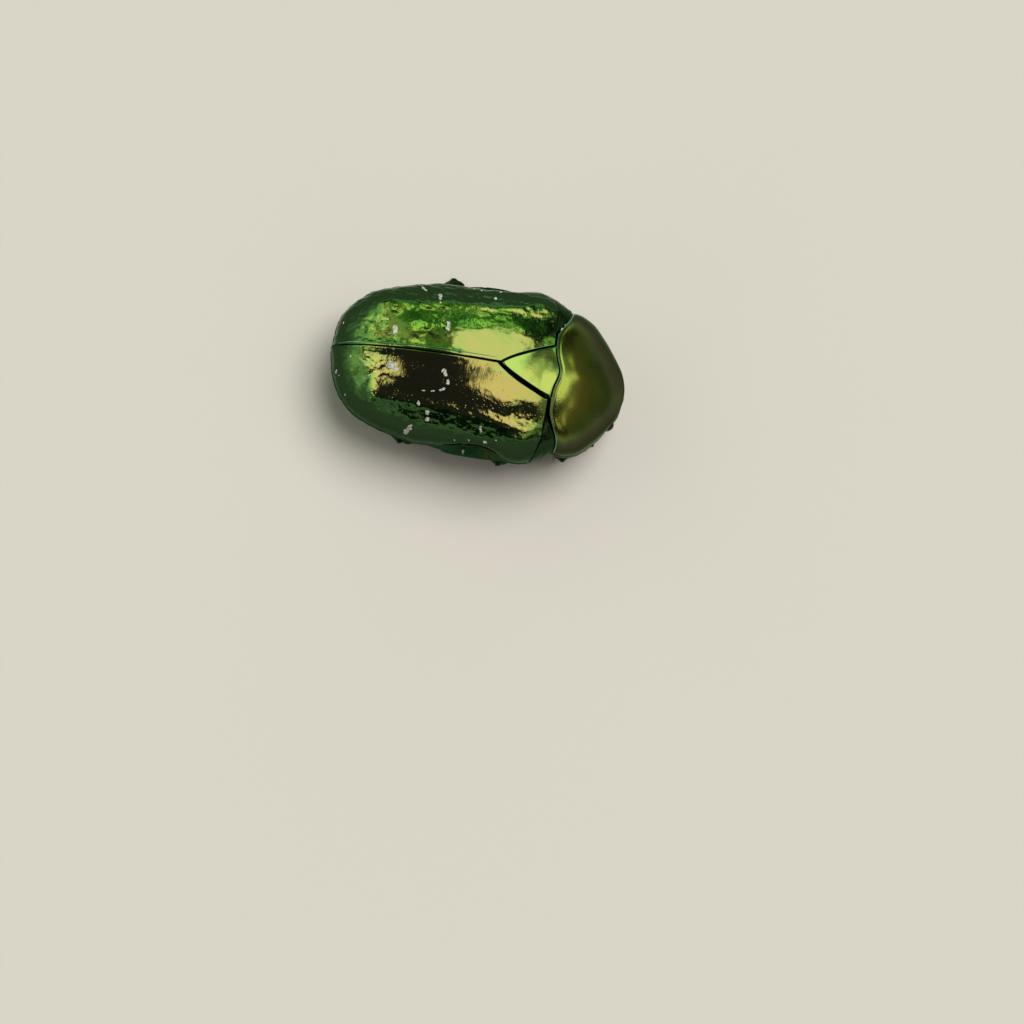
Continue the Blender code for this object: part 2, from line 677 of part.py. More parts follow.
def antenna(side):
    """The feeler: a jointed stem, and a club of three leaves held together."""
    sign = side_sign(side)
    down, out, up = ANTENNA_ROOT
    path = [head_point(down, sign * out, up)] + [beside_head(point, sign) for point in ANTENNA_BENDS]
    points, sizes = beads(path, ANTENNA_WIDTHS, ANTENNA_SWELL)
    tube("antenna_stem_" + side, points, sizes, sizes, (0, 0, 1), 8, "feeler_brown")
    root = beside_head(CLUB_ROOT, sign)
    tip = beside_head(CLUB_TIP, sign)
    rows = spread(0, 1, 9)
    path = [root.lerp(tip, share) for share in rows]
    swell = [CLUB_ROOT_SIZE + CLUB_SWELL * math.sin(math.pi * (0.12 + 0.8 * share)) for share in rows]
    flat = [size * CLUB_FLATNESS for size in swell]
    tube("antenna_club_" + side, path, swell, flat, (0, 1, 0), 10, "feeler_brown")


def palp(side):
    """The jointed mouth feeler under the head."""
    sign = side_sign(side)
    down, out, up = PALP_ROOT
    path = [head_point(down, sign * out, up)] + [beside_head(point, sign) for point in PALP_BENDS]
    points, sizes = beads(path, PALP_WIDTHS, PALP_SWELL)
    tube("palp_" + side, points, sizes, sizes, (0, 1, 0), 8, "feeler_brown")


def core_ring(x, dome_scale=1.0, step=0.0, tail=0.0):
    """Cross-section of the body under the wing cases, with a ledge below their rims.
    tail is 1 for the last ring, which follows the slant and the curve of the last plate."""
    ledge = along(MARGIN_Z, x) - GAP - 0.05
    dome = max(half_width(x) - DOME_INSET, 0.4) * dome_scale
    crown = ledge + (back_height(x) - DOME_INSET - ledge) * dome_scale
    side = max(along(BODY_SIDE, x) - step, dome + 0.05)
    belly = along(BODY_BELLY, x) + step
    half = []
    for angle in spread(90, 0, 7):
        rise = math.sin(math.radians(angle))
        out = dome * math.cos(math.radians(angle)) ** ARCH
        half.append((out, ledge + (crown - ledge) * rise**ARCH, 0))
    for angle in spread(0, 90, 8):
        drop = math.sin(math.radians(angle)) ** 0.9
        low = ledge - 0.12
        half.append((side * math.cos(math.radians(angle)) ** 0.9, low - (low - belly) * drop, drop))
    left = [Vector((x + tail * (TAIL_SLANT * drop + TAIL_BOW * y * y), y, z)) for y, z, drop in half]
    right = [Vector((point.x, -point.y, point.z)) for point in reversed(left[1:-1])]
    return left + right


def pterothorax(socket_cutters):
    """The middle and hind rings of the thorax, with the knob between the mid legs."""
    rings = []
    for x in spread(WAIST_X + GAP / 2, 2.6, 7) + [2.75, 3.15]:
        narrow = 1.0 - FRONT_NARROWING * eased(x, 1.5, 3.2)
        rings.append(core_ring(x, narrow))
    body = loft("pterothorax", rings, "underside_green")
    body["finish"] = "underside_green"
    knob = ellipsoid("knob", (2.6, 0, 2.3), (0.5, 0.42, 0.4), "underside_green", None, 10, 6)
    combine(body, [knob], "UNION")
    return combine(body, socket_cutters, "DIFFERENCE")


def abdomen(socket_cutters):
    """The abdomen, its belly stepped where one plate overlaps the next."""
    rings = [core_ring(WAIST_X - GAP / 2)]
    seam = WAIST_X - 1.2
    while seam > -6.0:
        rings.append(core_ring(seam + 0.08, 1.0, 0.0))
        rings.append(core_ring(seam - 0.08, 1.0, STERNITE_STEP))
        seam -= STERNITE_LENGTH
    rings.append(core_ring(-6.4, 0.9, 0.08, 0.4))
    rings.append(core_ring(TAIL_X, 0.6, 0.25, 1.0))
    body = loft("abdomen", rings, "underside_green")
    body["finish"] = "underside_green"
    return combine(body, socket_cutters, "DIFFERENCE")


def pygidium():
    """The last plate of the back, which closes the body below the apex of the wing cases."""
    grid = []
    for share in spread(0, 1, 8):
        half = PYGIDIUM_HALF * math.sqrt(1 - (0.93 * share) ** 2)
        row = []
        for across in spread(-1, 1, 13):
            y = half * across
            bulge = PYGIDIUM_BULGE * math.sin(math.pi * min(share + 0.1, 1)) * (1 - across**2)
            x = PYGIDIUM_TOP[0] + (PYGIDIUM_FOOT[0] - PYGIDIUM_TOP[0]) * share**1.5
            z = PYGIDIUM_TOP[1] + (PYGIDIUM_FOOT[1] - PYGIDIUM_TOP[1]) * share
            row.append(Vector((x + TAIL_BOW * y * y - bulge, y, z)))
        grid.append(row)
    square = {"first_row": 2, "last_row": 2}
    return shell("pygidium", grid, PLATE, "underside_green", (-1, 0, 0), square)


def mesepimeron(side):
    """The side plate that fills the wedge between pronotum and shoulder."""
    sign = side_sign(side)
    grid = []
    for angle in spread(SIDE_PLATE_TURN, -SIDE_PLATE_TURN, 9):
        turn = math.radians(angle)
        row = []
        for share in spread(0, 1, 5):
            wide = SIDE_PLATE_HALF[0] * (1 - share) + SIDE_PLATE_HALF[1] * share
            y = wide * math.cos(turn) ** ARCH
            if angle >= 0:
                z = SIDE_PLATE_Z + SIDE_PLATE_RISE * math.sin(turn) ** ARCH
            else:
                z = SIDE_PLATE_Z - SIDE_PLATE_FALL * abs(math.sin(turn))
            rear = elytron_front_x(y) + GAP
            front = max(base_x(y) - GAP, rear + SIDE_PLATE_NARROWEST)
            row.append(Vector((rear + (front - rear) * share, sign * y, z)))
        grid.append(row)
    square = {"first_column": 0, "last_column": 0}
    return shell("mesepimeron_" + side, grid, PLATE, "side_plate_green", (0, sign, 0), square)


def leg_plan(pair, side):
    """Named points of one leg, mirrored to its side."""
    plan = dict(LEGS[pair])
    if pair == "hind" and side == "left":
        plan.update(LEFT_HIND)
    sign = side_sign(side)
    for key in ("coxa", "hip", "knee", "ankle"):
        plan[key] = mirrored(plan[key], sign)
    plan["toes"] = [mirrored(point, sign) for point in plan["toes"]]
    return plan


def coxa_egg(pair, side, grow):
    """The egg shape of a hip, or its socket when grow is above 0."""
    plan = leg_plan(pair, side)
    radii = [radius + grow for radius in plan["coxa_size"]]
    name = "coxa_" + pair + "_" + side + ("_socket" if grow else "")
    return ellipsoid(name, plan["coxa"], radii, "leg_green")


def coxa(pair, side):
    """The hip, notched where the thigh turns in it."""
    body = coxa_egg(pair, side, 0.0)
    body["finish"] = "leg_green"
    return combine(body, [femur_tube(pair, side, GAP)], "DIFFERENCE")


def femur_tube(pair, side, grow):
    """The flat thigh, broadest before its middle, or a larger copy to cut with."""
    plan = leg_plan(pair, side)
    wide, thick = plan["femur"]
    shape = [size for share, size in FEMUR_SHAPE]
    path = [plan["hip"].lerp(plan["knee"], share) for share, size in FEMUR_SHAPE]
    path[0] -= (path[1] - path[0]).normalized() * grow
    name = "femur_" + pair + "_" + side + ("_notch" if grow else "")
    return tube(name, path, [wide * s + grow for s in shape],
                [thick * min(s + 0.12, 1) + grow for s in shape], (1, 0, 0), 10, "leg_green")


def femur(pair, side):
    """The thigh, grooved at the knee for the head of the shin."""
    body = femur_tube(pair, side, 0.0)
    body["finish"] = "leg_green"
    return combine(body, [tibia_tube(pair, side, GAP)], "DIFFERENCE")


def shin_axes(plan, sign):
    """Direction of a shin, and the way its outer edge faces."""
    direction = (plan["ankle"] - plan["knee"]).normalized()
    outer = Vector((0, sign, 0))
    outer = (outer - direction * outer.dot(direction)).normalized()
    return direction, outer


def tibia_tube(pair, side, grow):
    """The shin without its teeth, or a larger copy to cut with."""
    plan = leg_plan(pair, side)
    wide, thick = plan["tibia"]
    direction, outer = shin_axes(plan, side_sign(side))
    shape = [size for share, size in TIBIA_SHAPE]
    path = [plan["knee"].lerp(plan["ankle"], share) for share, size in TIBIA_SHAPE]
    path[0] -= direction * grow
    name = "tibia_" + pair + "_" + side + ("_groove" if grow else "")
    return tube(name, path, [wide * s + grow for s in shape],
                [thick * max(s, 0.85) + grow for s in shape], outer, 10, "leg_green")


def tibia(pair, side):
    """The shin: it widens towards the foot and carries teeth on its outer edge."""
    plan = leg_plan(pair, side)
    wide, thick = plan["tibia"]
    direction, outer = shin_axes(plan, side_sign(side))
    body = tibia_tube(pair, side, 0.0)
    body["finish"] = "leg_green"
    teeth = []
    for share in plan["teeth"]:
        root = plan["knee"].lerp(plan["ankle"], share) + outer * wide * 0.35
        tip = root + outer * wide * TOOTH_REACH + direction * TOOTH_SLANT
        teeth.append(tube(body.name + "_tooth", [root, tip], [0.22, 0.06], [0.2, 0.06],
                          direction, 6, "leg_green"))
    return combine(body, teeth, "UNION")


def tarsus(pair, side):
    """The foot: five short joints that lie on the floor, and two claws."""
    plan = leg_plan(pair, side)
    shares = [(0.04, 0.72), (0.45, 0.95), (0.82, 1.1), (0.96, 0.8)]
    onward = (plan["ankle"] - plan["knee"]).normalized()
    path = [plan["ankle"] + onward * (GAP + 0.12)] + plan["toes"]
    points, sizes = beads(path, [0.29, 0.29, 0.29, 0.28, 0.28], shares)
    name = "tarsus_" + pair + "_" + side
    body = tube(name, points, sizes, sizes, (0, 0, 1), 8, "foot_black", 0.0)
    body["finish"] = "foot_black"
    forward = (points[-1] - points[-3]).normalized()
    outward = forward.cross(Vector((0, 0, 1))).normalized()
    claws = []
    for turn in (-1, 1):
        path = []
        for share in spread(0, 1, 4):
            aside = CLAW_SPREAD[0] + CLAW_SPREAD[1] * share
            place = points[-2] + forward * CLAW_LENGTH * share + outward * turn * aside
            place.z = 0.28 - 0.14 * share**2
            path.append(place)
        claws.append(tube(name + "_claw", path, CLAW_SIZES, CLAW_SIZES, (0, 0, 1), 6, "foot_black",
                          0.0))
    return combine(body, claws, "UNION")


def build():
    for item in list(bpy.data.objects):
        bpy.data.objects.remove(item, do_unlink=True)
    sides = ("left", "right")
    fore = [coxa_egg("fore", side, GAP) for side in sides]
    prothorax(head_loft("head_socket", GAP), fore + [eye(side, GAP) for side in sides])
    head()
    scutellum()
    pterothorax([coxa_egg(pair, side, GAP) for pair in ("mid", "hind") for side in sides])
    abdomen([coxa_egg("hind", side, GAP) for side in sides])
    pygidium()
    for side in sides:
        elytron(side)
        mesepimeron(side)
        eye(side)
        antenna(side)
        palp(side)
        for pair in LEGS:
            coxa(pair, side)
            femur(pair, side)
            tibia(pair, side)
            tarsus(pair, side)
    for item in bpy.context.scene.objects:
        item.data.shade_smooth()
        item.data.set_sharp_from_angle(angle=math.radians(35))


build()
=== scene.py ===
# %% [markdown]
# # A metallic flower chafer, step by step
#
# The object is a beetle about 17 mm long that shines like polished brass and bottle glass. A solid
# model of it already exists as a frame: every hard part is a closed body in its true place. Here each
# of those bodies gets a finer skin, a finish and a light to be seen in. The first step loads the frame.

# %% The frame
import math

import bpy
import numpy as np
from mathutils import Matrix, Vector
from mathutils.bvhtree import BVHTree


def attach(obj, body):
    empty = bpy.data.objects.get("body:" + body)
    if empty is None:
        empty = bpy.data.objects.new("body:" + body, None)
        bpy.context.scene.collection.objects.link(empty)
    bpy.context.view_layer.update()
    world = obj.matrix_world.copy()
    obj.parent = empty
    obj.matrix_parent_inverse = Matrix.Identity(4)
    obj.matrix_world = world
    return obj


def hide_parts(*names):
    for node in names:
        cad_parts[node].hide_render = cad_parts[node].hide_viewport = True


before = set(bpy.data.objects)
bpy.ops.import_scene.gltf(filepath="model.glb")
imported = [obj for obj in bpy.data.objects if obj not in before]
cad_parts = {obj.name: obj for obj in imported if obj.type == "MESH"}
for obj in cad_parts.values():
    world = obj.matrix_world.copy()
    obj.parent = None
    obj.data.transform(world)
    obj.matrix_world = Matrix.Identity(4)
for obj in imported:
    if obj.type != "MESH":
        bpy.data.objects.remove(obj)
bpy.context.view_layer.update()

# %% [markdown]
# ## The camera
#
# The beetle is seen from almost straight above, with its head to the right and a little lower than its
# tail in the picture. A camera could be aimed with a constraint, but three angles and a distance say the
# same in numbers that can be read: where it stands, how high, and how far it leans about its own axis.

# %% Camera
MM = 0.001
CAMERA_AZIMUTH = math.radians(-135.202)
CAMERA_ELEVATION = math.radians(79.686)
CAMERA_ROLL = math.radians(-53.414)
CAMERA_DISTANCE = 113.9015 * MM
CAMERA_ASIDE = (-0.015405, 0.067906)    # how far the beetle lies off the middle, as a share of the distance
CAMERA_TARGET = Vector((0.0, 0.0, 4.0)) * MM
CAMERA_ANGLE = math.radians(28)


def camera_axes(azimuth, elevation, roll):
    """Right, up and backward directions of a camera that looks at its target."""
    back = Vector((math.cos(elevation) * math.cos(azimuth), math.cos(elevation) * math.sin(azimuth),
                   math.sin(elevation)))
    level_up = Vector((-math.sin(elevation) * math.cos(azimuth),
                       -math.sin(elevation) * math.sin(azimuth), math.cos(elevation)))
    level_right = level_up.cross(back)
    up = level_up * math.cos(roll) + level_right * math.sin(roll)
    return up.cross(back), up, back


right, up, back = camera_axes(CAMERA_AZIMUTH, CAMERA_ELEVATION, CAMERA_ROLL)
lens = bpy.data.cameras.new("close_up_lens")
lens.sensor_width = 36.0
lens.angle = CAMERA_ANGLE
camera = bpy.data.objects.new("close_up_camera", lens)
bpy.context.scene.collection.objects.link(camera)
stand = back - right * CAMERA_ASIDE[0] - up * CAMERA_ASIDE[1]
camera.matrix_world = (Matrix.Translation(CAMERA_TARGET + stand * CAMERA_DISTANCE)
                       @ Matrix((right, up, back)).transposed().to_4x4())
lens.clip_start = MM
bpy.context.scene.camera = camera
print("camera stands at", tuple(round(c, 4) for c in camera.location), "m")

# %% [markdown]
# ## Numbers along a curve
#
# A beetle has no straight edges. Its outlines are given as a few stations, and a smooth curve runs
# through them. Working on whole arrays of numbers keeps a grid of forty thousand points quick to make.
# All sizes from here on are in millimetres, in the beetle's own frame: +X to the head, +Y to its left.

# %% Curves, steps and bumps
SHIFT = 0.37        # the sizes below are given from a point that lies this far ahead of the frame's origin
HILL_TABLE = 64     # the random hills repeat after so many


def curve(stations, at):
    """Smooth curve through (position, value) stations, read at an array of positions."""
    place, value = np.array(stations, float).T
    ahead, behind = np.append(place[1:], place[-1]), np.insert(place[:-1], 0, place[0])
    rise = np.append(value[1:], value[-1]) - np.insert(value[:-1], 0, value[0])
    slope = rise / (ahead - behind)
    n = np.clip(np.searchsorted(place, at, side="right") - 1, 0, len(place) - 2)
    span = place[n + 1] - place[n]
    t = np.clip((at - place[n]) / span, 0, 1)
    from_low = (2 * t**3 - 3 * t**2 + 1) * value[n] + (t**3 - 2 * t**2 + t) * span * slope[n]
    from_high = (3 * t**2 - 2 * t**3) * value[n + 1] + (t**3 - t**2) * span * slope[n + 1]
    return from_low + from_high


def eased(value, start, end):
    """0 before start, 1 after end, and a smooth change between."""
    t = np.clip((value - start) / (end - start), 0, 1)
    return t * t * (3 - 2 * t)


def bump(distance, reach):
    """A round bump of height 1 that fades out over its reach."""
    return np.exp(-((distance / reach) ** 2))


def signed_power(value, power):
    return np.sign(value) * np.abs(value) ** power


def hills(u, v, seed):
    """Smooth random hills between -1 and 1, one to each unit of u and v."""
    table = np.random.default_rng(seed).uniform(-1, 1, (HILL_TABLE, HILL_TABLE))
    column, row = np.floor(u).astype(int), np.floor(v).astype(int)
    across, down = eased(u - column, 0, 1), eased(v - row, 0, 1)
    corners = [table[(row + j) % HILL_TABLE, (column + i) % HILL_TABLE] for j in (0, 1) for i in (0, 1)]
    upper = corners[0] * (1 - across) + corners[1] * across
    lower = corners[2] * (1 - across) + corners[3] * across
    return upper * (1 - down) + lower * down


print("half way up an eased step:", float(eased(0.5, 0, 1)))

# %% [markdown]
# ## Grids, and what every piece is told
#
# Every part of the beetle starts as a grid of points, and a mesh is that grid with its four-sided
# faces. One function makes a piece of it: it gives the mesh its finish, puts it on the frame's body and
# hides the solids of the frame that it stands for.

# %% Grids and pieces
SIDES = (("left", 1), ("right", -1))        # each side's name, and the sign of Y there


def lattice(rows, columns, around=False):
    """The four-sided faces of a grid of points, closed into a ring where around is set."""
    i, j = np.meshgrid(np.arange(rows - 1), np.arange(columns if around else columns - 1), indexing="ij")
    a = i * columns + j
    b = i * columns + (j + 1) % columns
    return np.stack([a, b, b + columns, a + columns], -1).reshape(-1, 4)


def grid_normals(grid, outward):
    """Unit normals of a grid, on the side that the outward direction points to."""
    down, across = np.gradient(grid, axis=0), np.gradient(grid, axis=1)
    normals = np.cross(down, across)
    normals /= np.maximum(np.linalg.norm(normals, axis=-1, keepdims=True), 1e-12)
    middle = normals[normals.shape[0] // 2, normals.shape[1] // 2]
    return normals if middle @ np.array(outward, float) > 0 else -normals


def piece(name, points, faces, material, slot, *nodes):
    """A finished piece: a mesh from millimetres, its material, its slot, which is not used, and what it
    stands for.
    """
    mesh = bpy.data.meshes.new(name)
    points = (np.asarray(points, float).reshape(-1, 3) + (SHIFT, 0, 0)) * MM
    mesh.from_pydata(points.tolist(), [], [list(map(int, face)) for face in faces])
    mesh.validate()
    mesh.materials.append(material)
    mesh.shade_smooth()
    made = bpy.data.objects.new(name, mesh)
    bpy.context.scene.collection.objects.link(made)
    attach(made, "root")
    if nodes:
        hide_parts(*nodes)
    print(f"{name}: {len(mesh.vertices)} points, {len(mesh.polygons)} faces")
    return made


print("a 3 by 3 grid has", len(lattice(3, 3)), "faces")

# %% [markdown]
# ## From a grid to a solid
#
# A plate is a grid that follows its outer face. Blender could thicken it with a Solidify modifier, but
# doing it here lets the rim be rolled over, as real armour is: close to an edge the face sinks along a
# quarter circle, and that tiny curve is what catches the light. Rounder parts are tubes, closed by a
# fan of triangles at each end.

# %% Plates and tubes
def rolled(distance, radius):
    """How far a face sinks within a radius of its rim, along a quarter circle."""
    near = np.clip(radius - distance, 0, radius)
    return radius - np.sqrt(radius**2 - near**2)


def plate(grid, thickness, outward, square, off_middle=0.0):
    """Points and faces of a closed plate under a grid. square names the axis that the thickness
    leaves alone along the first and last row and column."""
    normals = grid_normals(grid, outward)
    step = normals * thickness
    borders = {"first_row": np.s_[0, :], "last_row": np.s_[-1, :], "first_column": np.s_[:, 0],
               "last_column": np.s_[:, -1]}
    for border, axis in square.items():
        step[borders[border] + (axis,)] = 0
    inner = grid - step
    if off_middle:
        inner[..., 1] = np.sign(grid[..., 1]) * np.maximum(np.abs(inner[..., 1]), off_middle)
    rows, columns = grid.shape[:2]
    size = rows * columns
    outer_faces = lattice(rows, columns)
    rim = [(0, j) for j in range(columns)] + [(i, columns - 1) for i in range(1, rows)]
    rim += [(rows - 1, j) for j in range(columns - 2, -1, -1)] + [(i, 0) for i in range(rows - 2, 0, -1)]
    rim = np.array([i * columns + j for i, j in rim])
    after = np.roll(rim, -1)
    sides = np.stack([after, rim, rim + size, after + size], -1)
    faces = np.concatenate([outer_faces, outer_faces[:, ::-1] + size, sides])
    flip = normals[rows // 2, columns // 2] @ np.cross(
        grid[rows // 2, columns // 2 + 1] - grid[rows // 2, columns // 2],
        grid[rows // 2 + 1, columns // 2] - grid[rows // 2, columns // 2]) < 0
    return np.concatenate([grid.reshape(-1, 3), inner.reshape(-1, 3)]), faces[:, ::-1] if flip else faces


def tube(rings):
    """Points and faces of a closed body through rings, with a fan over each end."""
    rows, sides = rings.shape[:2]
    points = rings.reshape(-1, 3)
    faces = [tuple(face) for face in lattice(rows, sides, around=True)]
    first, last = len(points), len(points) + 1
    around = np.arange(sides)
    faces += [((n + 1) % sides, n, first) for n in around]
    base = (rows - 1) * sides
    faces += [(base + n, base + (n + 1) % sides, last) for n in around]
    ends = np.array([points[:sides].mean(0), points[base:base + sides].mean(0)])
    return np.concatenate([points, ends]), faces


def joined(parts):
    """Several meshes, each its points and faces, as one."""
    all_points, all_faces, first = [], [], 0
    for points, faces in parts:
        all_points.append(points)
        all_faces += [tuple(first + index for index in face) for face in faces]
        first += len(points)
    return np.concatenate(all_points), all_faces


print("a rim 0.05 mm round sinks", round(float(rolled(0.0, 0.05)), 3), "mm at its edge")

# %% [markdown]
# ## Small helpers for shader nodes
#
# A finish in Blender is a tree of nodes. Building one in plain code takes three lines for every node,
# so one helper makes a node, sets it and links its inputs, and two more cover the kinds used most: a
# colour ramp and a sum.

# %% Node helpers
def tree_of(name):
    """A new material, with its node tree and shader."""
    material = bpy.data.materials.new(name)
    material.use_nodes = True
    return material, material.node_tree, material.node_tree.nodes["Principled BSDF"]


def node(tree, kind, inputs=None, **settings):
    """A node with its settings, its inputs set to values or linked to other nodes' outputs."""
    made = tree.nodes.new(kind)
    for key, value in settings.items():
        setattr(made, key, value)
    for key, value in (inputs or {}).items():
        socket = made.inputs[key]
        if isinstance(value, bpy.types.NodeSocket):
            tree.links.new(value, socket)
        else:
            socket.default_value = value
    return made


def ramp(tree, fac, stops):
    """A colour ramp through (position, colour) stops."""
    made = node(tree, "ShaderNodeValToRGB", {"Fac": fac})
    elements = made.color_ramp.elements
    while len(elements) < len(stops):
        elements.new(0.5)
    for element, (position, colour) in zip(elements, stops):
        element.position = position
        element.color = (*colour, 1)
    return made.outputs["Color"]


def maths(tree, operation, first, second=0.0):
    return node(tree, "ShaderNodeMath", {0: first, 1: second}, operation=operation).outputs[0]


print("helpers:", [helper.__name__ for helper in (tree_of, node, ramp, maths)])

# %% [markdown]
# ## Grain and pits
#
# Under a lens the cuticle is covered with grain and small round pits. Both could be painted, but noise
# and cell patterns laid out in millimetres stay sharp at any distance and need no map of the surface.
# Each function here returns a recipe: something that adds its nodes to whichever tree it is given.

# %% Grain and pits
PER_METRE = 1000.0          # millimetres in a metre
FLANK_ZONE = (1.5, 3.0)     # where the smooth middle of the back ends and the rough flank begins
TIP_ZONE = (-3.0, -7.0)     # the same along the back, towards the tip
SMOOTHEST = 0.25            # share of the roughness that is left on the smooth part


def grain(scale, detail=3.0, stretch=(1, 1, 1), roughness=0.55):
    """Noise with so many grains in a millimetre."""
    def add(tree):
        spot = node(tree, "ShaderNodeTexCoord").outputs["Object"]
        size = node(tree, "ShaderNodeVectorMath", {0: spot, 1: [s * PER_METRE for s in stretch]},
                    operation="MULTIPLY")
        made = node(tree, "ShaderNodeTexNoise", {"Vector": size.outputs[0], "Scale": scale, "Detail": detail,
                                                 "Roughness": roughness})
        return made.outputs["Fac"]
    return add


def pits(scale, flat, rim):
    """Round pits, so many in a millimetre: 0 on the flat bottom of each, and 1 from its rim outwards."""
    def add(tree):
        spot = node(tree, "ShaderNodeTexCoord").outputs["Object"]
        size = node(tree, "ShaderNodeVectorMath", {0: spot, 3: PER_METRE}, operation="SCALE")
        made = node(tree, "ShaderNodeTexVoronoi", {"Vector": size.outputs[0], "Scale": scale})
        step = node(tree, "ShaderNodeMapRange", {"Value": made.outputs["Distance"], "From Min": flat,
                                                 "From Max": rim}, interpolation_type="SMOOTHSTEP")
        return step.outputs["Result"]
    return add


def on_flanks(recipe):
    """A recipe at full strength on the flanks and towards the tip, and weak on the smooth front."""
    def add(tree):
        axes = node(tree, "ShaderNodeSeparateXYZ",
                    {0: node(tree, "ShaderNodeTexCoord").outputs["Object"]}).outputs
        zones = []
        for value, (start, end) in ((maths(tree, "ABSOLUTE", axes["Y"]), FLANK_ZONE), (axes["X"], TIP_ZONE)):
            zone = node(tree, "ShaderNodeMapRange",
                        {"Value": value, "From Min": start * MM, "From Max": end * MM,
                         "To Min": SMOOTHEST, "To Max": 1.0})
            zones.append(zone.outputs["Result"])
        return maths(tree, "MULTIPLY", recipe(tree), maths(tree, "MAXIMUM", *zones))
    return add


print("pits of 5.5 to the millimetre are", round(1 / 5.5, 2), "mm apart")

# %% [markdown]
# ## Finishes: metal with no pigment, and painted shade at the slant
#
# The shell has no pigment to speak of. Thin layers reflect gold when looked at squarely, green when
# tilted and bottle green at a slant, so the colour of each spot follows the way it faces. At the
# steepest slant the colours fall to near black: that is painted shade, standing in for the dark room
# that the flanks reflect. The colour is set from the direction of the surface itself, not from the
# camera, so it stays on the beetle from every side. The shader is a plain metal: what the eye reads as
# pattern is mostly reflected room.

# %% Finishes
FACING = (-0.127, -0.126, 0.984)        # the direction that shows the shell squarely
SLANT_TINT = (0.5, 0.62, 0.5, 1)        # the shell's colour where it is seen along its face
PATCHY = 0.12                           # how far slow noise shifts the colours of the shell
WORN = (0.3, 0.7)                       # the noise between which the shell goes from bright to worn


def finish(name, tone, stops, relief, sockets):
    """A finish: colours along a tone, layers of relief with depths in mm, and the shader's other values."""
    material, tree, shader = tree_of(name)
    tree.links.new(ramp(tree, tone(tree), stops), shader.inputs["Base Color"])
    for socket, value in sockets.items():
        shader.inputs[socket].default_value = value
    height = None
    for recipe, depth in relief:
        layer = maths(tree, "MULTIPLY", recipe(tree), depth)
        height = layer if height is None else maths(tree, "ADD", height, layer)
    if relief:
        lifted = node(tree, "ShaderNodeBump", {"Height": height, "Strength": 1.0, "Distance": MM})
        tree.links.new(lifted.outputs["Normal"], shader.inputs["Normal"])
    return material


def facing(tree):
    """1 where the surface turns its face to FACING, and 0 where it stands at a right angle to it."""
    normal = node(tree, "ShaderNodeNewGeometry").outputs["Normal"]
    share = node(tree, "ShaderNodeVectorMath", {0: normal, 1: FACING}, operation="DOT_PRODUCT")
    return share.outputs["Value"]


def patchy_facing(tree):
    """The way of facing, shifted a little by slow noise."""
    shift = maths(tree, "MULTIPLY", maths(tree, "SUBTRACT", grain(0.9, 2.0)(tree), 0.5), PATCHY)
    return maths(tree, "ADD", facing(tree), shift)


def shell_metal(name, stops, roughness, relief):
    """The shining cuticle: colours by the way it faces, where the darkest stops paint shade on the slants,
    and more worn in some spots than in others.
    """
    material = finish(name, patchy_facing, stops, relief, {"Metallic": 1.0, "Specular Tint": SLANT_TINT})
    tree = material.node_tree
    bright, dull = roughness
    worn = node(tree, "ShaderNodeMapRange", {"Value": grain(6.0, 4.0)(tree), "From Min": WORN[0],
                                             "From Max": WORN[1], "To Min": bright, "To Max": dull})
    tree.links.new(worn.outputs["Result"], tree.nodes["Principled BSDF"].inputs["Roughness"])
    return material


print("the shell is seen squarely from", FACING)

# %% [markdown]
# ## Four metals of the shell
#
# The wing cases, the small triangle between them, the shield and the side plates share one kind of
# metal. They differ in their colours, in how bright they are polished and in their grain. The colours
# run from the slanting face (0) to the square one (1). On the wing cases, the triangle and the shield
# the darkest stops at the slanting end are painted shade, for the dark room that steep faces reflect;
# the greens and golds towards the square end are the shell's own colour.

# %% Metals of the shell
# painted shade: the near-black stops up to 0.68 darken the wing cases where they slant away
wing_metal = shell_metal(
    "wing_case_metal",
    [(0.0, (0.020, 0.024, 0.016)), (0.30, (0.020, 0.027, 0.018)), (0.52, (0.030, 0.050, 0.025)),
     (0.68, (0.026, 0.060, 0.023)), (0.80, (0.055, 0.14, 0.040)), (0.89, (0.15, 0.31, 0.072)),
     (0.93, (0.36, 0.54, 0.12)), (0.962, (0.60, 0.61, 0.17)), (0.99, (0.68, 0.59, 0.18))],
    (0.04, 0.10),
    [(on_flanks(grain(6.5, 4.0, (1.2, 0.5, 0.7), 0.62)), 0.0105), (grain(9.0), 0.0016),
     (on_flanks(pits(5.5, 0.04, 0.3)), 0.0055)])
# painted shade: the darkest first stops darken the triangle's slanting edges
scutellum_metal = shell_metal(
    "scutellum_metal",
    [(0.0, (0.008, 0.05, 0.022)), (0.6, (0.015, 0.14, 0.045)), (0.87, (0.10, 0.30, 0.07)),
     (0.93, (0.30, 0.58, 0.13)), (0.948, (0.45, 0.68, 0.15)), (0.966, (0.64, 0.80, 0.18))],
    (0.05, 0.10), [(grain(3.0, 2.0), 0.003)])
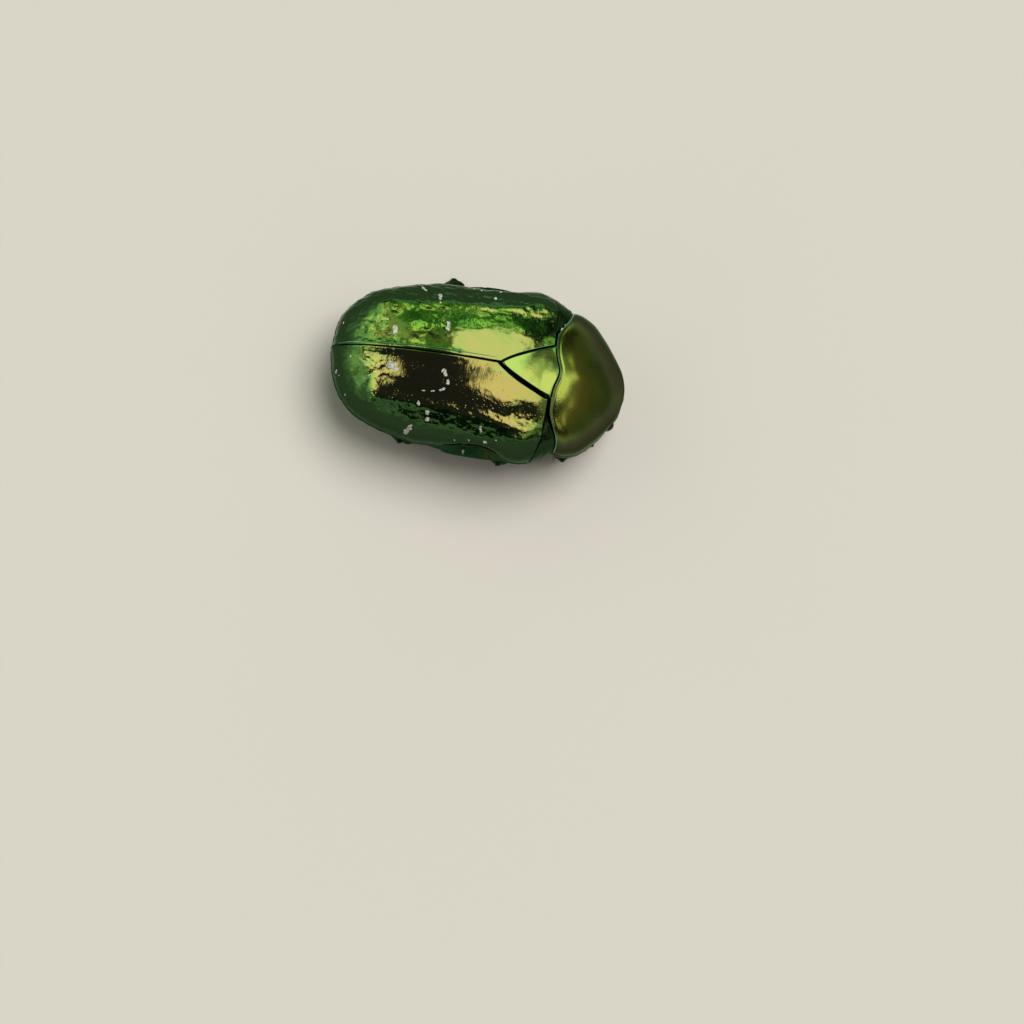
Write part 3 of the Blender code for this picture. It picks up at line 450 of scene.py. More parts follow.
# painted shade: the dark olive and brown first stops darken the shield's slanting sides
pronotum_metal = shell_metal(
    "pronotum_metal",
    [(0.0, (0.036, 0.032, 0.020)), (0.45, (0.042, 0.036, 0.022)), (0.6, (0.062, 0.060, 0.034)),
     (0.68, (0.078, 0.105, 0.036)), (0.76, (0.12, 0.18, 0.034)), (0.85, (0.24, 0.24, 0.042)),
     (0.91, (0.38, 0.43, 0.080)), (0.955, (0.56, 0.70, 0.13))],
    (0.15, 0.23), [(grain(5.0), 0.004), (pits(3.0, 0.04, 0.2), 0.003)])
side_metal = shell_metal(
    "side_plate_metal",
    [(0.0, (0.012, 0.022, 0.012)), (0.6, (0.020, 0.038, 0.018)), (0.9, (0.03, 0.06, 0.024))],
    (0.15, 0.3), [(pits(9.0, 0.1, 0.45), 0.009), (grain(9.0), 0.008)])
print("metals:", [metal.name for metal in (wing_metal, scutellum_metal, pronotum_metal, side_metal)])

# %% [markdown]
# ## The wing cases
#
# Two hardened fore wings meet along the back and roof the body. Seen from above they are nearly
# parallel, notched behind the shoulder, and rounded off behind. Seen from behind they are a vault.
# The outline, the side margin and the middle of the back are curves, and this cell only draws those.

# %% The vault of the back
TIP_X, FRONT_EDGE, REAR_TURN = -8.65, 3.1, -3.4
REAR_TAPER, REAR_POWER, REAR_FALL_POWER = 0.19, 3.1, 2.4
CREST_X, CREST_Z, CREST_DROP, TIP_Z, ARCH = 0.5, 7.9, 0.3, 3.8, 0.8
SIDE = [(REAR_TURN, 4.47), (-1.9, 4.43), (-0.5, 4.26), (0.3, 4.25), (1.1, 4.48), (1.7, 4.72), (2.4, 4.8),
        (3.2, 4.62)]
VAULT = [(REAR_TURN, 4.47), (-1.0, 4.53), (1.0, 4.68), (2.4, 4.8), (3.2, 4.62)]
MARGIN = [(TIP_X, 3.65), (-5.0, 3.65), (-2.5, 3.95), (-0.3, 4.5), (1.2, 4.4), (3.3, 4.1)]
NOTCH_REACH, SHOULDER_BACK = 0.62, 0.15
TRIANGLE_TIP, TRIANGLE_HALF, TRIANGLE_POWER = 0.27, 1.42, 0.78


def half_width(x, side=SIDE):
    """Half the width over the wing cases. side gives the stations in front of the rear turn."""
    share = np.clip((REAR_TURN - x) / (REAR_TURN - TIP_X), 0, 1)
    taper = SIDE[0][1] - REAR_TAPER * (REAR_TURN - x)
    return np.where(x >= REAR_TURN, curve(side, x), taper * (1 - share**REAR_POWER) ** (1 / REAR_POWER))


def back_height(x):
    """Height of the middle of the back."""
    share = np.clip((CREST_X - x) / (CREST_X - TIP_X), 0, 1)
    rear = TIP_Z + (CREST_Z - TIP_Z) * (1 - share**REAR_FALL_POWER) ** (1 / REAR_FALL_POWER)
    front = CREST_Z - CREST_DROP * ((x - CREST_X) / (FRONT_EDGE - CREST_X)) ** 2
    return np.where(x >= CREST_X, front, rear)


def triangle_half(x):
    """Half the width of the scutellum, the small triangle between the wing cases."""
    share = np.clip((x - TRIANGLE_TIP) / (FRONT_EDGE - TRIANGLE_TIP), 0, 1)
    return TRIANGLE_HALF * share**TRIANGLE_POWER


def shoulder_shift(x, y):
    """How far the rows near the shoulder bend back towards the side."""
    return SHOULDER_BACK * eased(x, -1.0, FRONT_EDGE) * (np.abs(y) / 4.4) ** 5


def even_rows(count):
    """Stations from the front edge to the tip, evenly spaced along the shell's own curve."""
    angle = np.linspace(0, math.radians(89.2), 1500)
    rear = REAR_TURN - (REAR_TURN - TIP_X) * np.sin(angle) ** (2 / REAR_POWER)
    x = np.concatenate([np.linspace(FRONT_EDGE, REAR_TURN, 800)[:-1], rear])
    steps = np.sqrt(np.diff(x) ** 2 + 0.6 * np.diff(half_width(x)) ** 2 + 0.6 * np.diff(back_height(x)) ** 2)
    length = np.concatenate([[0], np.cumsum(steps)])
    wanted = np.linspace(0, length[-1], count)
    fine = np.array([0.012, 0.03, 0.055])
    wanted = np.unique(np.concatenate([wanted, fine, length[-1] - fine]))
    return np.interp(wanted, length, x)


print("widest over the wing cases:", round(2 * float(half_width(np.array(2.4))), 2), "mm")

# %% [markdown]
# ## Knobs, ribs and wrinkles
#
# The vault is not smooth. A knob marks the shoulder and another the rear, two low ribs run between
# them, and behind the triangle the seam itself is raised. The two cases differ: the right one is a
# little hollow near its tip, and the left one swells beside the seam. Wrinkles cover the flanks. All
# this could be a bump map, but real relief breaks up the reflections as the real shell does.

# %% Relief of a wing case
# a knob: its place along and out, how much longer than wide, its reach
SHOULDER, BESIDE_SHOULDER, REAR_KNOB = (1.9, 3.72, 1.9, 0.55), (2.0, 2.55, 1.3, 0.55), (-6.2, 2.5, 1.1, 0.75)
SHOULDER_HEIGHT = {1: 0.13, -1: 0.24}       # by side: the photograph shows the right one more strongly
DIP_DEPTH, REAR_HEIGHT = 0.07, 0.26
OUTER_RIB, INNER_RIB, SEAM_RISE = 0.09, 0.012, 0.09
RIB_FRONT, RIB_REAR = 1.9, -6.2             # where the outer rib starts and ends
RIGHT_HOLLOW, LEFT_SWELL = 0.14, 0.11
WRINKLE_DEPTH = {1: 0.024, -1: 0.018}


def wing_relief(x, y, sign, rim):
    """Height over the smooth vault at x and |y|, with rim the distance from the side margin."""
    def knob(at_x, at_y, stretch, reach, height):
        return height * bump(np.hypot((x - at_x) / stretch, y - at_y), reach)

    share = (RIB_FRONT - x) / (RIB_FRONT - RIB_REAR)
    outer_rib = OUTER_RIB * bump(y - (3.3 - 0.8 * share), 0.3) * eased(x, -6.5, -5.0)
    inner_rib = INNER_RIB * bump(y - 1.55, 0.3) * eased(x, -6.0, -5.0) * (1 - eased(x, -1.5, 0.5))
    seam = (SEAM_RISE * bump(y, 0.3) - 0.01 * bump(y - 0.75, 0.3)) * (1 - eased(x, -3.0, 0.5))
    bead = 0.035 * bump(rim - 0.1, 0.07) - 0.03 * bump(rim - 0.27, 0.09)
    shoulder = knob(*SHOULDER, SHOULDER_HEIGHT[sign]) - knob(*BESIDE_SHOULDER, DIP_DEPTH)
    if sign < 0:
        uneven = -RIGHT_HOLLOW * eased(-x, 4.4, 5.9) * bump(y - 1.9, 1.05)
    else:
        uneven = LEFT_SWELL * bump(y - 0.25, 0.95) * eased(x, -6.0, -4.8) * (1 - eased(x, -2.6, -1.4))
    height = shoulder + knob(*REAR_KNOB, REAR_HEIGHT) + outer_rib + inner_rib + seam + bead + uneven
    flank = eased(y, 2.2, 3.0) * (1 - 0.7 * eased(y, 4.1, 4.5))
    creased = 0.2 + flank + 0.7 * eased(-x, 4.8, 6.6) + 0.9 * bump(np.hypot((x + 3.2) / 1.4, y - 1.7), 0.55)
    wrinkles = hills(x * 2.2 + 7 * sign, y * 3.5, 3 + sign)
    wrinkles = wrinkles + 0.55 * hills(x * 4.6, y * 7.0 + 3 * sign, 11 + sign)
    wrinkles = wrinkles + 0.3 * hills(x * 8.5, y * 10.0, 17 + sign)
    return height + WRINKLE_DEPTH[sign] * creased * wrinkles


print("shoulder knobs, left and right:", SHOULDER_HEIGHT[1], SHOULDER_HEIGHT[-1], "mm high")

# %% [markdown]
# ## Two wing cases
#
# Each case is a grid that runs from the shoulder to the tip and from the seam to the side margin. The
# columns follow equal angles over the vault, so they stay close together where it turns down. Three
# edges are rolled over: along the seam, along the margin and at the front.

# %% Wing cases
CASE_ROWS, CASE_COLUMNS = 230, 122          # of the grid, not counting the closer ones at its edges
CASE_THICKNESS, SEAM_HALF = 0.3, 0.018
BESIDE_TRIANGLE = {"left": 0.03, "right": 0.19}     # the dark gap at the triangle is wide on the right only
SEAM_ROLL, MARGIN_ROLL, FRONT_ROLL = 0.04, 0.05, 0.06
WING_SQUARE = {"first_row": 0, "first_column": 1, "last_column": 2}


def wing_grid(sign, seam, beside):
    """The outer face of one wing case, so far from the middle line and so far beside the triangle."""
    x = even_rows(CASE_ROWS)[:, None]
    share = np.concatenate([[0, 0.002, 0.005, 0.009, 0.014], np.linspace(0.02, 0.985, CASE_COLUMNS),
                            [0.989, 0.993, 0.996, 0.9985, 1.0]])[None, :]
    wide, narrow, low = half_width(x, VAULT), half_width(x), curve(MARGIN, x)
    inner = seam + triangle_half(x + beside) + beside / 2 * eased(x, TRIANGLE_TIP - beside, TRIANGLE_TIP + 1)
    start = np.arccos(np.minimum(inner / wide, 0.98) ** (1 / ARCH))
    angle = start * (1 - share)
    height = np.sin(angle) ** ARCH
    y = wide * np.cos(angle) ** ARCH - (wide - narrow) * (1 - eased(height, 0, NOTCH_REACH))
    z = low + (back_height(x) - low) * height
    grid = np.stack([x - shoulder_shift(x, y), sign * y, z], -1)
    steps = np.linalg.norm(np.diff(grid, axis=1), axis=-1)
    along_row = np.concatenate([np.zeros((len(grid), 1)), np.cumsum(steps, axis=1)], axis=1)
    rim = along_row[:, -1:] - along_row
    down = np.linalg.norm(np.diff(grid, axis=0), axis=-1)
    from_front = np.concatenate([np.zeros((1, grid.shape[1])), np.cumsum(down, axis=0)])
    sunk = rolled(along_row, SEAM_ROLL) + rolled(rim, MARGIN_ROLL) + rolled(from_front, FRONT_ROLL)
    lift = wing_relief(grid[..., 0], np.abs(grid[..., 1]), sign, rim) - sunk
    return grid + grid_normals(grid, (0, 0, 1)) * lift[..., None]


wing_grids, skins = {}, {}
for side, sign in SIDES:
    wing_grids[side] = wing_grid(sign, SEAM_HALF, BESIDE_TRIANGLE[side])
    points, faces = plate(wing_grids[side], CASE_THICKNESS, (0, 0, 1), WING_SQUARE, off_middle=SEAM_HALF)
    piece("wing_case_" + side, points, faces, wing_metal, "wing_case", "elytron_" + side)
    skins[side] = BVHTree.FromPolygons(points.tolist(), faces.tolist())

# %% [markdown]
# ## Measures of the shield
#
# The scutellum ends where the shield behind the head begins, so the shield's outline comes first: its
# half width, the height of its middle, its side edge and its belly, from the base (0) to the neck (1).

# %% Outline of the shield
BASE_X, BASE_CORNER_X, NECK_X, NECK_BOW, UNDERCUT = 3.28, 4.1, 7.68, 0.65, 1.9
BASE_NOTCH, BASE_LOBE, LOBE_Y = 0.26, 0.1, 1.6     # the notch in the middle, and the lobe left of it
HEAD_ASIDE = -0.2       # the head and the front of the shield are held a little to the right
SHIELD_HALF = [(0, 3.95), (0.13, 4.0), (0.25, 3.95), (0.5, 3.66), (0.75, 3.05), (0.9, 2.5), (1, 1.95)]
SHIELD_TOP = [(0, 7.5), (0.25, 7.3), (0.5, 6.8), (0.75, 6.05), (1, 5.1)]
SHIELD_EDGE = [(0, 4.4), (0.5, 4.0), (1, 4.05)]
SHIELD_BELLY = [(0, 2.3), (0.6, 2.3), (1, 2.7)]


def base_x(y):
    """Rear edge of the pronotum: a notch in the middle, a lobe to its left, and corners further forward."""
    lobes = BASE_X - BASE_LOBE * bump(y - LOBE_Y, 0.8) + BASE_NOTCH * bump(y, 0.7)
    return lobes + (BASE_CORNER_X - BASE_X) * eased(np.abs(y), 1.9, 3.9)


print("the shield reaches from", float(base_x(0.0)), "to", NECK_X, "mm")

# %% [markdown]
# ## The scutellum
#
# The small triangle between the bases of the wing cases is the smoothest mirror on the beetle. It is
# the same vault, lowered by a hair's breadth, with its two long edges rolled over more boldly. Its
# base ends just behind the edge of the shield, whatever curve that edge has.

# %% Scutellum
TRIANGLE_SUNK, TRIANGLE_THICKNESS, TRIANGLE_TO_SHIELD = 0.03, 0.3, 0.07


def dorsal_height(x, y):
    """Height of the smooth vault at a point seen from above."""
    low = curve(MARGIN, x)
    share = np.minimum(np.abs(y) / half_width(x, VAULT), 1)
    return low + (back_height(x) - low) * (1 - share ** (2 / ARCH)) ** (ARCH / 2)


def scutellum_grid():
    share = np.concatenate([[1.0, 0.995, 0.985], np.linspace(0.97, 0.02, 70), [0.012, 0.006]])[:, None]
    x = TRIANGLE_TIP + (FRONT_EDGE - TRIANGLE_TIP) * share
    across = np.sin(np.linspace(-1, 1, 57) * math.pi / 2)[None, :]
    half = triangle_half(x)
    y = half * across
    edge = half - np.abs(y)
    z = dorsal_height(x, y) - TRIANGLE_SUNK - rolled(edge, 0.12) - rolled((x - TRIANGLE_TIP) * 0.8, 0.15)
    reach = (base_x(y) - TRIANGLE_TO_SHIELD - FRONT_EDGE) * eased(share, 0.8, 1.0)
    return np.stack([x + reach, y, z], -1)


TRIANGLE_SQUARE = {"first_row": 0, "first_column": 1, "last_column": 1}
triangle = plate(scutellum_grid(), TRIANGLE_THICKNESS, (0, 0, 1), TRIANGLE_SQUARE)
piece("scutellum_plate", *triangle, scutellum_metal, "scutellum", "scutellum")

# %% [markdown]
# ## The pronotum
#
# The shield behind the head is one ring of armour. Rings of points run from its base to its front edge
# and lean forward in the middle. A fine groove runs along the base, and a thin bead follows each side.

# %% Pronotum
SHIELD_SIDES = 240          # points in each ring
SHIELD_LENGTH = 4.4         # roughly, for the distance from either end
BASE_ROLL, NECK_ROLL = 0.08, 0.12


def shield_rings(share, sides):
    """Rings of the pronotum and the breast under it, at shares of the way from base to neck."""
    share = share[:, None]
    angle = np.linspace(0, 2 * math.pi, sides, endpoint=False)[None, :]
    over = np.sin(angle)
    wide, top = curve(SHIELD_HALF, share), curve(SHIELD_TOP, share)
    edge, belly = curve(SHIELD_EDGE, share), curve(SHIELD_BELLY, share)
    y = wide * signed_power(np.cos(angle), np.where(over >= 0, 0.95, 1.2))
    above = edge + (top - edge) * np.abs(over) ** 0.85
    z = np.where(over >= 0, above, edge - (edge - belly) * np.abs(over) ** 0.9)
    front = NECK_X - NECK_BOW * (y / wide) ** 2
    x = base_x(y) * (1 - share) + front * share
    x = x - np.where(over < 0, UNDERCUT * share**2 * (edge - z) / (edge - belly), 0)
    return np.stack([x, y + HEAD_ASIDE * share, z], -1)


def shield():
    share = np.concatenate([[0, 0.004, 0.009, 0.015], np.linspace(0.022, 0.985, 120), [0.99, 0.995, 1.0]])
    rings = shield_rings(share, SHIELD_SIDES)
    normals = grid_normals(rings, (0, 0, 1))
    centre = rings.mean(1, keepdims=True)
    inward = ((rings - centre) * normals).sum(-1) < 0
    normals[inward] *= -1
    angle = np.linspace(0, 2 * math.pi, SHIELD_SIDES, endpoint=False)[None, :]
    long = share[:, None] * SHIELD_LENGTH
    upper = eased(np.sin(angle), -0.1, 0.05)
    groove = -0.02 * bump(long - 0.2, 0.06) * upper
    turn = np.minimum(np.abs(angle), np.abs(angle - math.pi))
    turn = np.minimum(turn, 2 * math.pi - angle)
    bead = 0.045 * bump(turn, 0.03) - 0.02 * bump(turn - 0.08, 0.03)
    sunk = rolled(long, BASE_ROLL) + rolled(SHIELD_LENGTH - long, NECK_ROLL)
    rings = rings + normals * (groove + bead - sunk)[..., None]
    rear = rings[0] + (rings[0].mean(0) - rings[0]) * 0.12 + (0.25, 0, 0)
    neck = rings[-1] + (rings[-1].mean(0) - rings[-1]) * 0.14
    throat = rings[-1] + (rings[-1].mean(0) - rings[-1]) * 0.3 - (0.5, 0, 0)
    return tube(np.concatenate([rear[None], rings, neck[None], throat[None]]))


piece("pronotum_shield", *shield(), pronotum_metal, "pronotum", "prothorax")

# %% [markdown]
# ## The side plates
#
# In flower chafers a small plate of the middle thorax pushes up between the shield and the shoulder,
# and it shows from above as a dark wedge. It is coarser than its neighbours: closely pitted, dull
# green. It takes its rear edge from the shoulder and its front edge from the shield, so no gap opens.

# %% Side plates
SIDE_PLATE_THICKNESS, SIDE_PLATE_HEIGHT, PLATE_RISE, PLATE_FALL = 0.3, 4.1, 3.3, 1.2
SIDE_PLATE_WIDE, SIDE_PLATE_NARROW = 4.66, 4.08     # half widths at its rear and front edge


def side_plate_grid(sign):
    turn = np.radians(np.linspace(82, -55, 110))[:, None]
    share = np.linspace(0, 1, 30)[None, :]
    wide = SIDE_PLATE_WIDE * (1 - share) + SIDE_PLATE_NARROW * share
    sunk = 0.3 * eased(np.degrees(turn), 38, 62)
    rise = np.abs(np.sin(turn))
    y = wide * np.cos(turn) ** ARCH - sunk * np.cos(turn)
    above, below = SIDE_PLATE_HEIGHT + PLATE_RISE * rise**ARCH, SIDE_PLATE_HEIGHT - PLATE_FALL * rise
    z = np.where(turn >= 0, above, below) - sunk
    rear = FRONT_EDGE - shoulder_shift(FRONT_EDGE, y) + 0.06
    front = np.maximum(base_x(y) - 0.05, rear + 0.12)
    rough = 0.02 * hills(share * 9, np.degrees(turn) / 7 + 5 * sign, 21)
    grid = np.stack([rear + (front - rear) * share, sign * y, z + 0 * y], -1)
    edge = (front - rear) * np.minimum(share, 1 - share)
    return grid + grid_normals(grid, (0, sign, 0.3)) * (rough - rolled(edge, 0.06))[..., None]


for side, sign in SIDES:
    grid = side_plate_grid(sign)
    made = plate(grid, SIDE_PLATE_THICKNESS, (0, sign, 0.3), {"first_column": 0, "last_column": 0})
    piece("side_plate_" + side, *made, side_metal, "side_plate", "mesepimeron_" + side)

# %% [markdown]
# ## The underside
#
# Below the wing cases the body is one trough of armour: the thorax, then the belly. Both could be
# sculpted, but they share a cross section that changes slowly, so one function draws half of it at any
# station, and whole rings are made from the halves. Its finish is darker than the shell's, with copper
# clouds and closer pits.

# %% Cross section and finish of the underside
GAP, INSET = 0.2, 0.85
BODY_SIDE = [(-7.5, 2.75), (-6.4, 3.45), (-4.6, 4.0), (-3.0, 4.35), (-1.6, 4.72), (0.0, 4.82), (1.3, 4.72),
             (2.6, 4.4), (2.75, 3.2), (3.4, 2.6)]
BODY_BELLY = [(-7.5, 2.45), (-6.4, 2.36), (-4.5, 2.3), (-1.0, 2.25), (2.0, 2.2), (3.4, 2.3)]
DOME_POINTS, BELLY_POINTS = 34, 62      # in half a ring

underside_metal = finish(
    "underside_metal", grain(0.8),
    [(0.35, (0.010, 0.045, 0.018)), (0.6, (0.020, 0.070, 0.022)), (0.8, (0.07, 0.07, 0.02))],
    [(pits(4.5, 0.06, 0.35), 0.02), (grain(9.0), 0.01)],
    {"Metallic": 0.9, "Specular Tint": (0.5, 0.8, 0.65, 1), "Roughness": 0.28})


def core_half(x, scale, step):
    """Half a cross section of the body at stations x, from the middle of the back to the belly's."""
    ledge = curve(MARGIN, x) - GAP - 0.05
    dome = np.maximum(half_width(x) - INSET, 0.4) * scale
    crown = ledge + (back_height(x) - INSET - ledge) * scale
    side = np.maximum(curve(BODY_SIDE, x) - step, dome + 0.05)
    belly = curve(BODY_BELLY, x) + step
    rise = np.radians(np.linspace(90, 0, DOME_POINTS))[None, :]
    fall = np.radians(np.linspace(0, 90, BELLY_POINTS))[None, :]
    drop = np.sin(fall) ** 0.9
    y = np.concatenate([dome * np.cos(rise) ** ARCH, side * np.cos(fall) ** 0.9], 1)
    shelf = ledge - 0.12
    z = np.concatenate([ledge + (crown - ledge) * np.sin(rise) ** ARCH, shelf - (shelf - belly) * drop], 1)
    return y, z, np.concatenate([0 * rise, drop], 1)


def mirrored_rings(x, y, z):
    """Whole rings from their left halves."""
    left = np.stack([x, y, z], -1)
    return np.concatenate([left, (left * (1, -1, 1))[:, -2:0:-1]], 1)


print("a ring of the underside has", 2 * (DOME_POINTS + BELLY_POINTS) - 2, "points")

# %% [markdown]
# ## Thorax and belly
#
# The thorax has a blunt knob between the middle legs and shallow grooves where its plates meet. The
# belly's plates lap over each other like tiles: the cross section steps outwards at each seam. Both
# skins are kept as trees of faces as well, because chalky marks are laid on them later.

# %% Thorax and belly
WAIST_X, FIRST_PLATE, PLATE_LENGTH, TAIL_X = -0.7, 1.2, 1.02, -7.25
PLATE_STEP = 0.09       # how far the edge of one plate stands over the next


def thorax():
    x = np.linspace(3.55, WAIST_X - 0.03, 110)[:, None]
    scale = 1.0 - 0.28 * eased(x, 1.5, 3.2)
    y, z, drop = core_half(x, scale, 0 * x)
    below = drop > 0.02
    share = y / np.maximum(curve(BODY_SIDE, x), 0.1)
    seam = 0.05 * bump(share - (0.86 - 0.05 * x), 0.03) + 0.06 * bump(y, 0.05) * eased(-x, -1.6, -1.2)
    seam = seam + 0.05 * bump(x - 0.15 - 0.12 * y, 0.06) * eased(y, 2.4, 2.8)
    knob = 0.5 * bump(np.hypot((x - 2.5) / 0.75, y / 0.6), 1.0)
    z = z + np.where(below, seam * drop - knob * eased(drop, 0.6, 0.95), 0)
    y = y - np.where(below, seam * (1 - drop), 0)
    return mirrored_rings(x + 0 * y, y, z)


def belly():
    seams = WAIST_X - FIRST_PLATE - PLATE_LENGTH * np.arange(5)
    fine = np.concatenate([seams + 0.015, seams - 0.015, seams + 0.06, seams - 0.06])
    x = np.unique(np.concatenate([np.linspace(TAIL_X, WAIST_X + 0.1, 120), fine]))[::-1][:, None]
    gone = np.clip(WAIST_X - FIRST_PLATE - x, 0, None)
    plate_share = (gone / PLATE_LENGTH) % 1.0
    lapped = PLATE_STEP * (1 - plate_share) ** 1.5
    step = np.where(x > seams[0], 0.03 * eased(x, WAIST_X - 0.25, WAIST_X), lapped)
    tail = eased(-x, 5.8, 7.3)
    y, z, drop = core_half(x, 1.0 - 0.35 * tail, step + 0.2 * tail**2)
    slant = tail * (0.45 * drop + 0.12 * y * y)
    return mirrored_rings(x + slant, y, z)


thorax_rings = thorax()
for name, rings, covered in (("thorax_underside", thorax_rings, "pterothorax"),
                             ("belly_plates", belly(), "abdomen")):
    points, faces = tube(rings)
    piece(name, points, faces, underside_metal, "underside", covered)
    skins[name] = BVHTree.FromPolygons(points.tolist(), faces)

# %% [markdown]
# ## The last plate
#
# Behind the wing cases one plate closes the body. It is a bulging half disc that hangs from the tips
# and leans forward to the belly.

# %% Last plate
TAIL_HALF, TAIL_TOP, TAIL_DROP, TAIL_THICKNESS = 2.75, 3.42, 1.02, 0.35


def tail_grid():
    share = np.linspace(0, 1, 50)[:, None]
    across = np.sin(np.linspace(-1, 1, 91) * math.pi / 2)[None, :]
    half = TAIL_HALF * np.sqrt(1 - (0.93 * share) ** 2)
    y = half * across
    bulge = 0.3 * np.sin(math.pi * np.minimum(share + 0.1, 1)) * (1 - across**2)
    x = -8.12 + 0.77 * share**1.5 + 0.12 * y * y - bulge
    rough = 0.012 * hills(y * 4, share * 6, 31)
    return np.stack([x - rough, y, TAIL_TOP - TAIL_DROP * share + 0 * y], -1)


made = plate(tail_grid(), TAIL_THICKNESS, (-1, 0, 0), {"first_row": 2, "last_row": 2})
piece("tail_plate", *made, underside_metal, "underside", "pygidium")

# %% [markdown]
# ## The head
#
# The head is bent down and hides under the shield: from above little more than an eye shows. It is a
# flat spade with a raised rim, a shallow notch in front and a bulging eye at each side. It is lofted
# along an axis of its own, which points down and a little forward.

# %% Head
HEAD_PITCH, HEAD_LENGTH, HEAD_RELIEF, HEAD_SIDES = math.radians(78), 2.85, 0.08, 160
HEAD_ROOT = np.array((6.88, HEAD_ASIDE + 0.04, 4.15))
HEAD_AXES = np.array([(math.cos(HEAD_PITCH), 0, -math.sin(HEAD_PITCH)), (0, 1, 0),
                      (math.sin(HEAD_PITCH), 0, math.cos(HEAD_PITCH))])
HEAD_HALF = [(0, 1.15), (0.4, 1.5), (1.0, 1.58), (1.5, 1.3), (2.0, 1.24), (2.5, 1.28), (2.85, 1.12)]
HEAD_ROOF = [(0, 0.6), (0.5, 0.8), (1.0, 0.76), (1.5, 0.6), (2.0, 0.44), (2.6, 0.38), (2.85, 0.48)]
HEAD_FLOOR = [(0, 0.6), (0.5, 0.75), (1.0, 0.75), (1.5, 0.6), (2.0, 0.42), (2.6, 0.2), (2.85, 0.06)]


def on_head(down, out, up):
    """A point so far along the head, out to its side and out of its face."""
    return HEAD_ROOT + np.stack(np.broadcast_arrays(down, out, up), -1) @ HEAD_AXES


def head_rings():
    last = HEAD_LENGTH - np.array([0.04, 0.02, 0.0])
    down = np.concatenate([np.linspace(0, HEAD_LENGTH - 0.06, 90), last])[:, None]
    angle = np.linspace(0, 2 * math.pi, HEAD_SIDES, endpoint=False)[None, :]
    wide, roof, floor = curve(HEAD_HALF, down), curve(HEAD_ROOF, down), curve(HEAD_FLOOR, down)
    out = wide * signed_power(np.cos(angle), 0.86)
    rise = np.sin(angle)
    up = np.where(rise >= 0, roof, floor) * signed_power(rise, 0.8)
    rim = 1.4 * bump(np.abs(out) - wide * 0.93, 0.09) * eased(down, 1.2, 1.8)
    front = 1.2 * bump(down - HEAD_LENGTH + 0.1, 0.1)
    ridge = bump(out, 0.22) * (1 - eased(down, 1.6, 2.4))
    brow = 0.6 * bump(down - 1.42, 0.07) * eased(-np.abs(out), -1.2, -0.9)
    up = up + HEAD_RELIEF * (rim + ridge + front - brow) * eased(rise, 0.05, 0.3)
    notch = 0.16 * bump(out, 0.45) * eased(down, 2.2, HEAD_LENGTH)
    return on_head(down - notch, out, up)


head_metal = finish(
    "head_metal", facing, [(0.0, (0.012, 0.05, 0.015)), (0.5, (0.02, 0.13, 0.03)), (0.9, (0.12, 0.32, 0.03))],
    [(pits(7.0, 0.1, 0.4), 0.02)],
    {"Metallic": 0.95, "Specular Tint": (0.5, 0.75, 0.6, 1), "Roughness": 0.26})
piece("head_capsule", *tube(head_rings()), head_metal, "head", "head")

# %% [markdown]
# ## Eyes
#
# A beetle's eye is a dome of some thousands of lenses. The dome is a fine grid; the lenses are far too
# small to be seen one by one, so they are a honeycomb of bumps in a dark finish with a dull gloss.

# %% Eyes
EYE_PLACE, EYE_SIZE = (0.72, 1.52, 0.04), np.array((0.48, 0.4, 0.48))


def egg(centre, radii, axes, rows=40, sides=64):
    """Rings of an egg shape, from one pole to the other."""
    polar = np.linspace(0.03, math.pi - 0.03, rows)[:, None]
    angle = np.linspace(0, 2 * math.pi, sides, endpoint=False)[None, :]
    local = np.stack(np.broadcast_arrays(np.sin(polar) * np.cos(angle) * radii[0],
                                         np.sin(polar) * np.sin(angle) * radii[1],
                                         np.cos(polar) * radii[2]), -1)
    return np.asarray(centre) + local @ axes


eye_glass = finish("eye_lenses", grain(2.0, 2.0), [(0.3, (0.012, 0.005, 0.003)), (0.7, (0.04, 0.016, 0.007))],
                   [(pits(28.0, 0.1, 0.55), -0.006)], {"Roughness": 0.3, "Specular IOR Level": 0.12})
for side, sign in SIDES:
    down, out, up = EYE_PLACE
    rings = egg(on_head(down, sign * out, up), EYE_SIZE, HEAD_AXES)
    piece("eye_dome_" + side, *tube(rings), eye_glass, "eye", "eye_" + side)

# %% [markdown]
# ## Limbs
#
# Feelers, palps and legs are all tubes: rings set across a path, wide one way and thin the other. The
# ends are rounded by shrinking the last rings along a quarter circle. What a limb carries on its outer
# edge, such as the teeth of a shin, is one more width, added on that side only.

# %% A limb along a path
def unit(vectors):
    return vectors / np.maximum(np.linalg.norm(vectors, axis=-1, keepdims=True), 1e-12)


def smooth_path(points, shares):
    """Points at shares of the length of a smooth path through a few given points."""
    points = np.asarray(points, float)
    length = np.concatenate([[0], np.cumsum(np.linalg.norm(np.diff(points, axis=0), axis=1))])
    at = np.asarray(shares) * length[-1]
    return np.stack([curve(list(zip(length, points[:, axis])), at) for axis in range(3)], -1), length[-1]


def rounded_ends(shares, length, reach):
    """Shrinks the half width of a limb towards both ends."""
    near = np.minimum(shares, 1 - shares) * length
    return np.sqrt(np.clip(1 - (1 - np.clip(near / reach, 0, 1)) ** 2, 0.0004, 1))


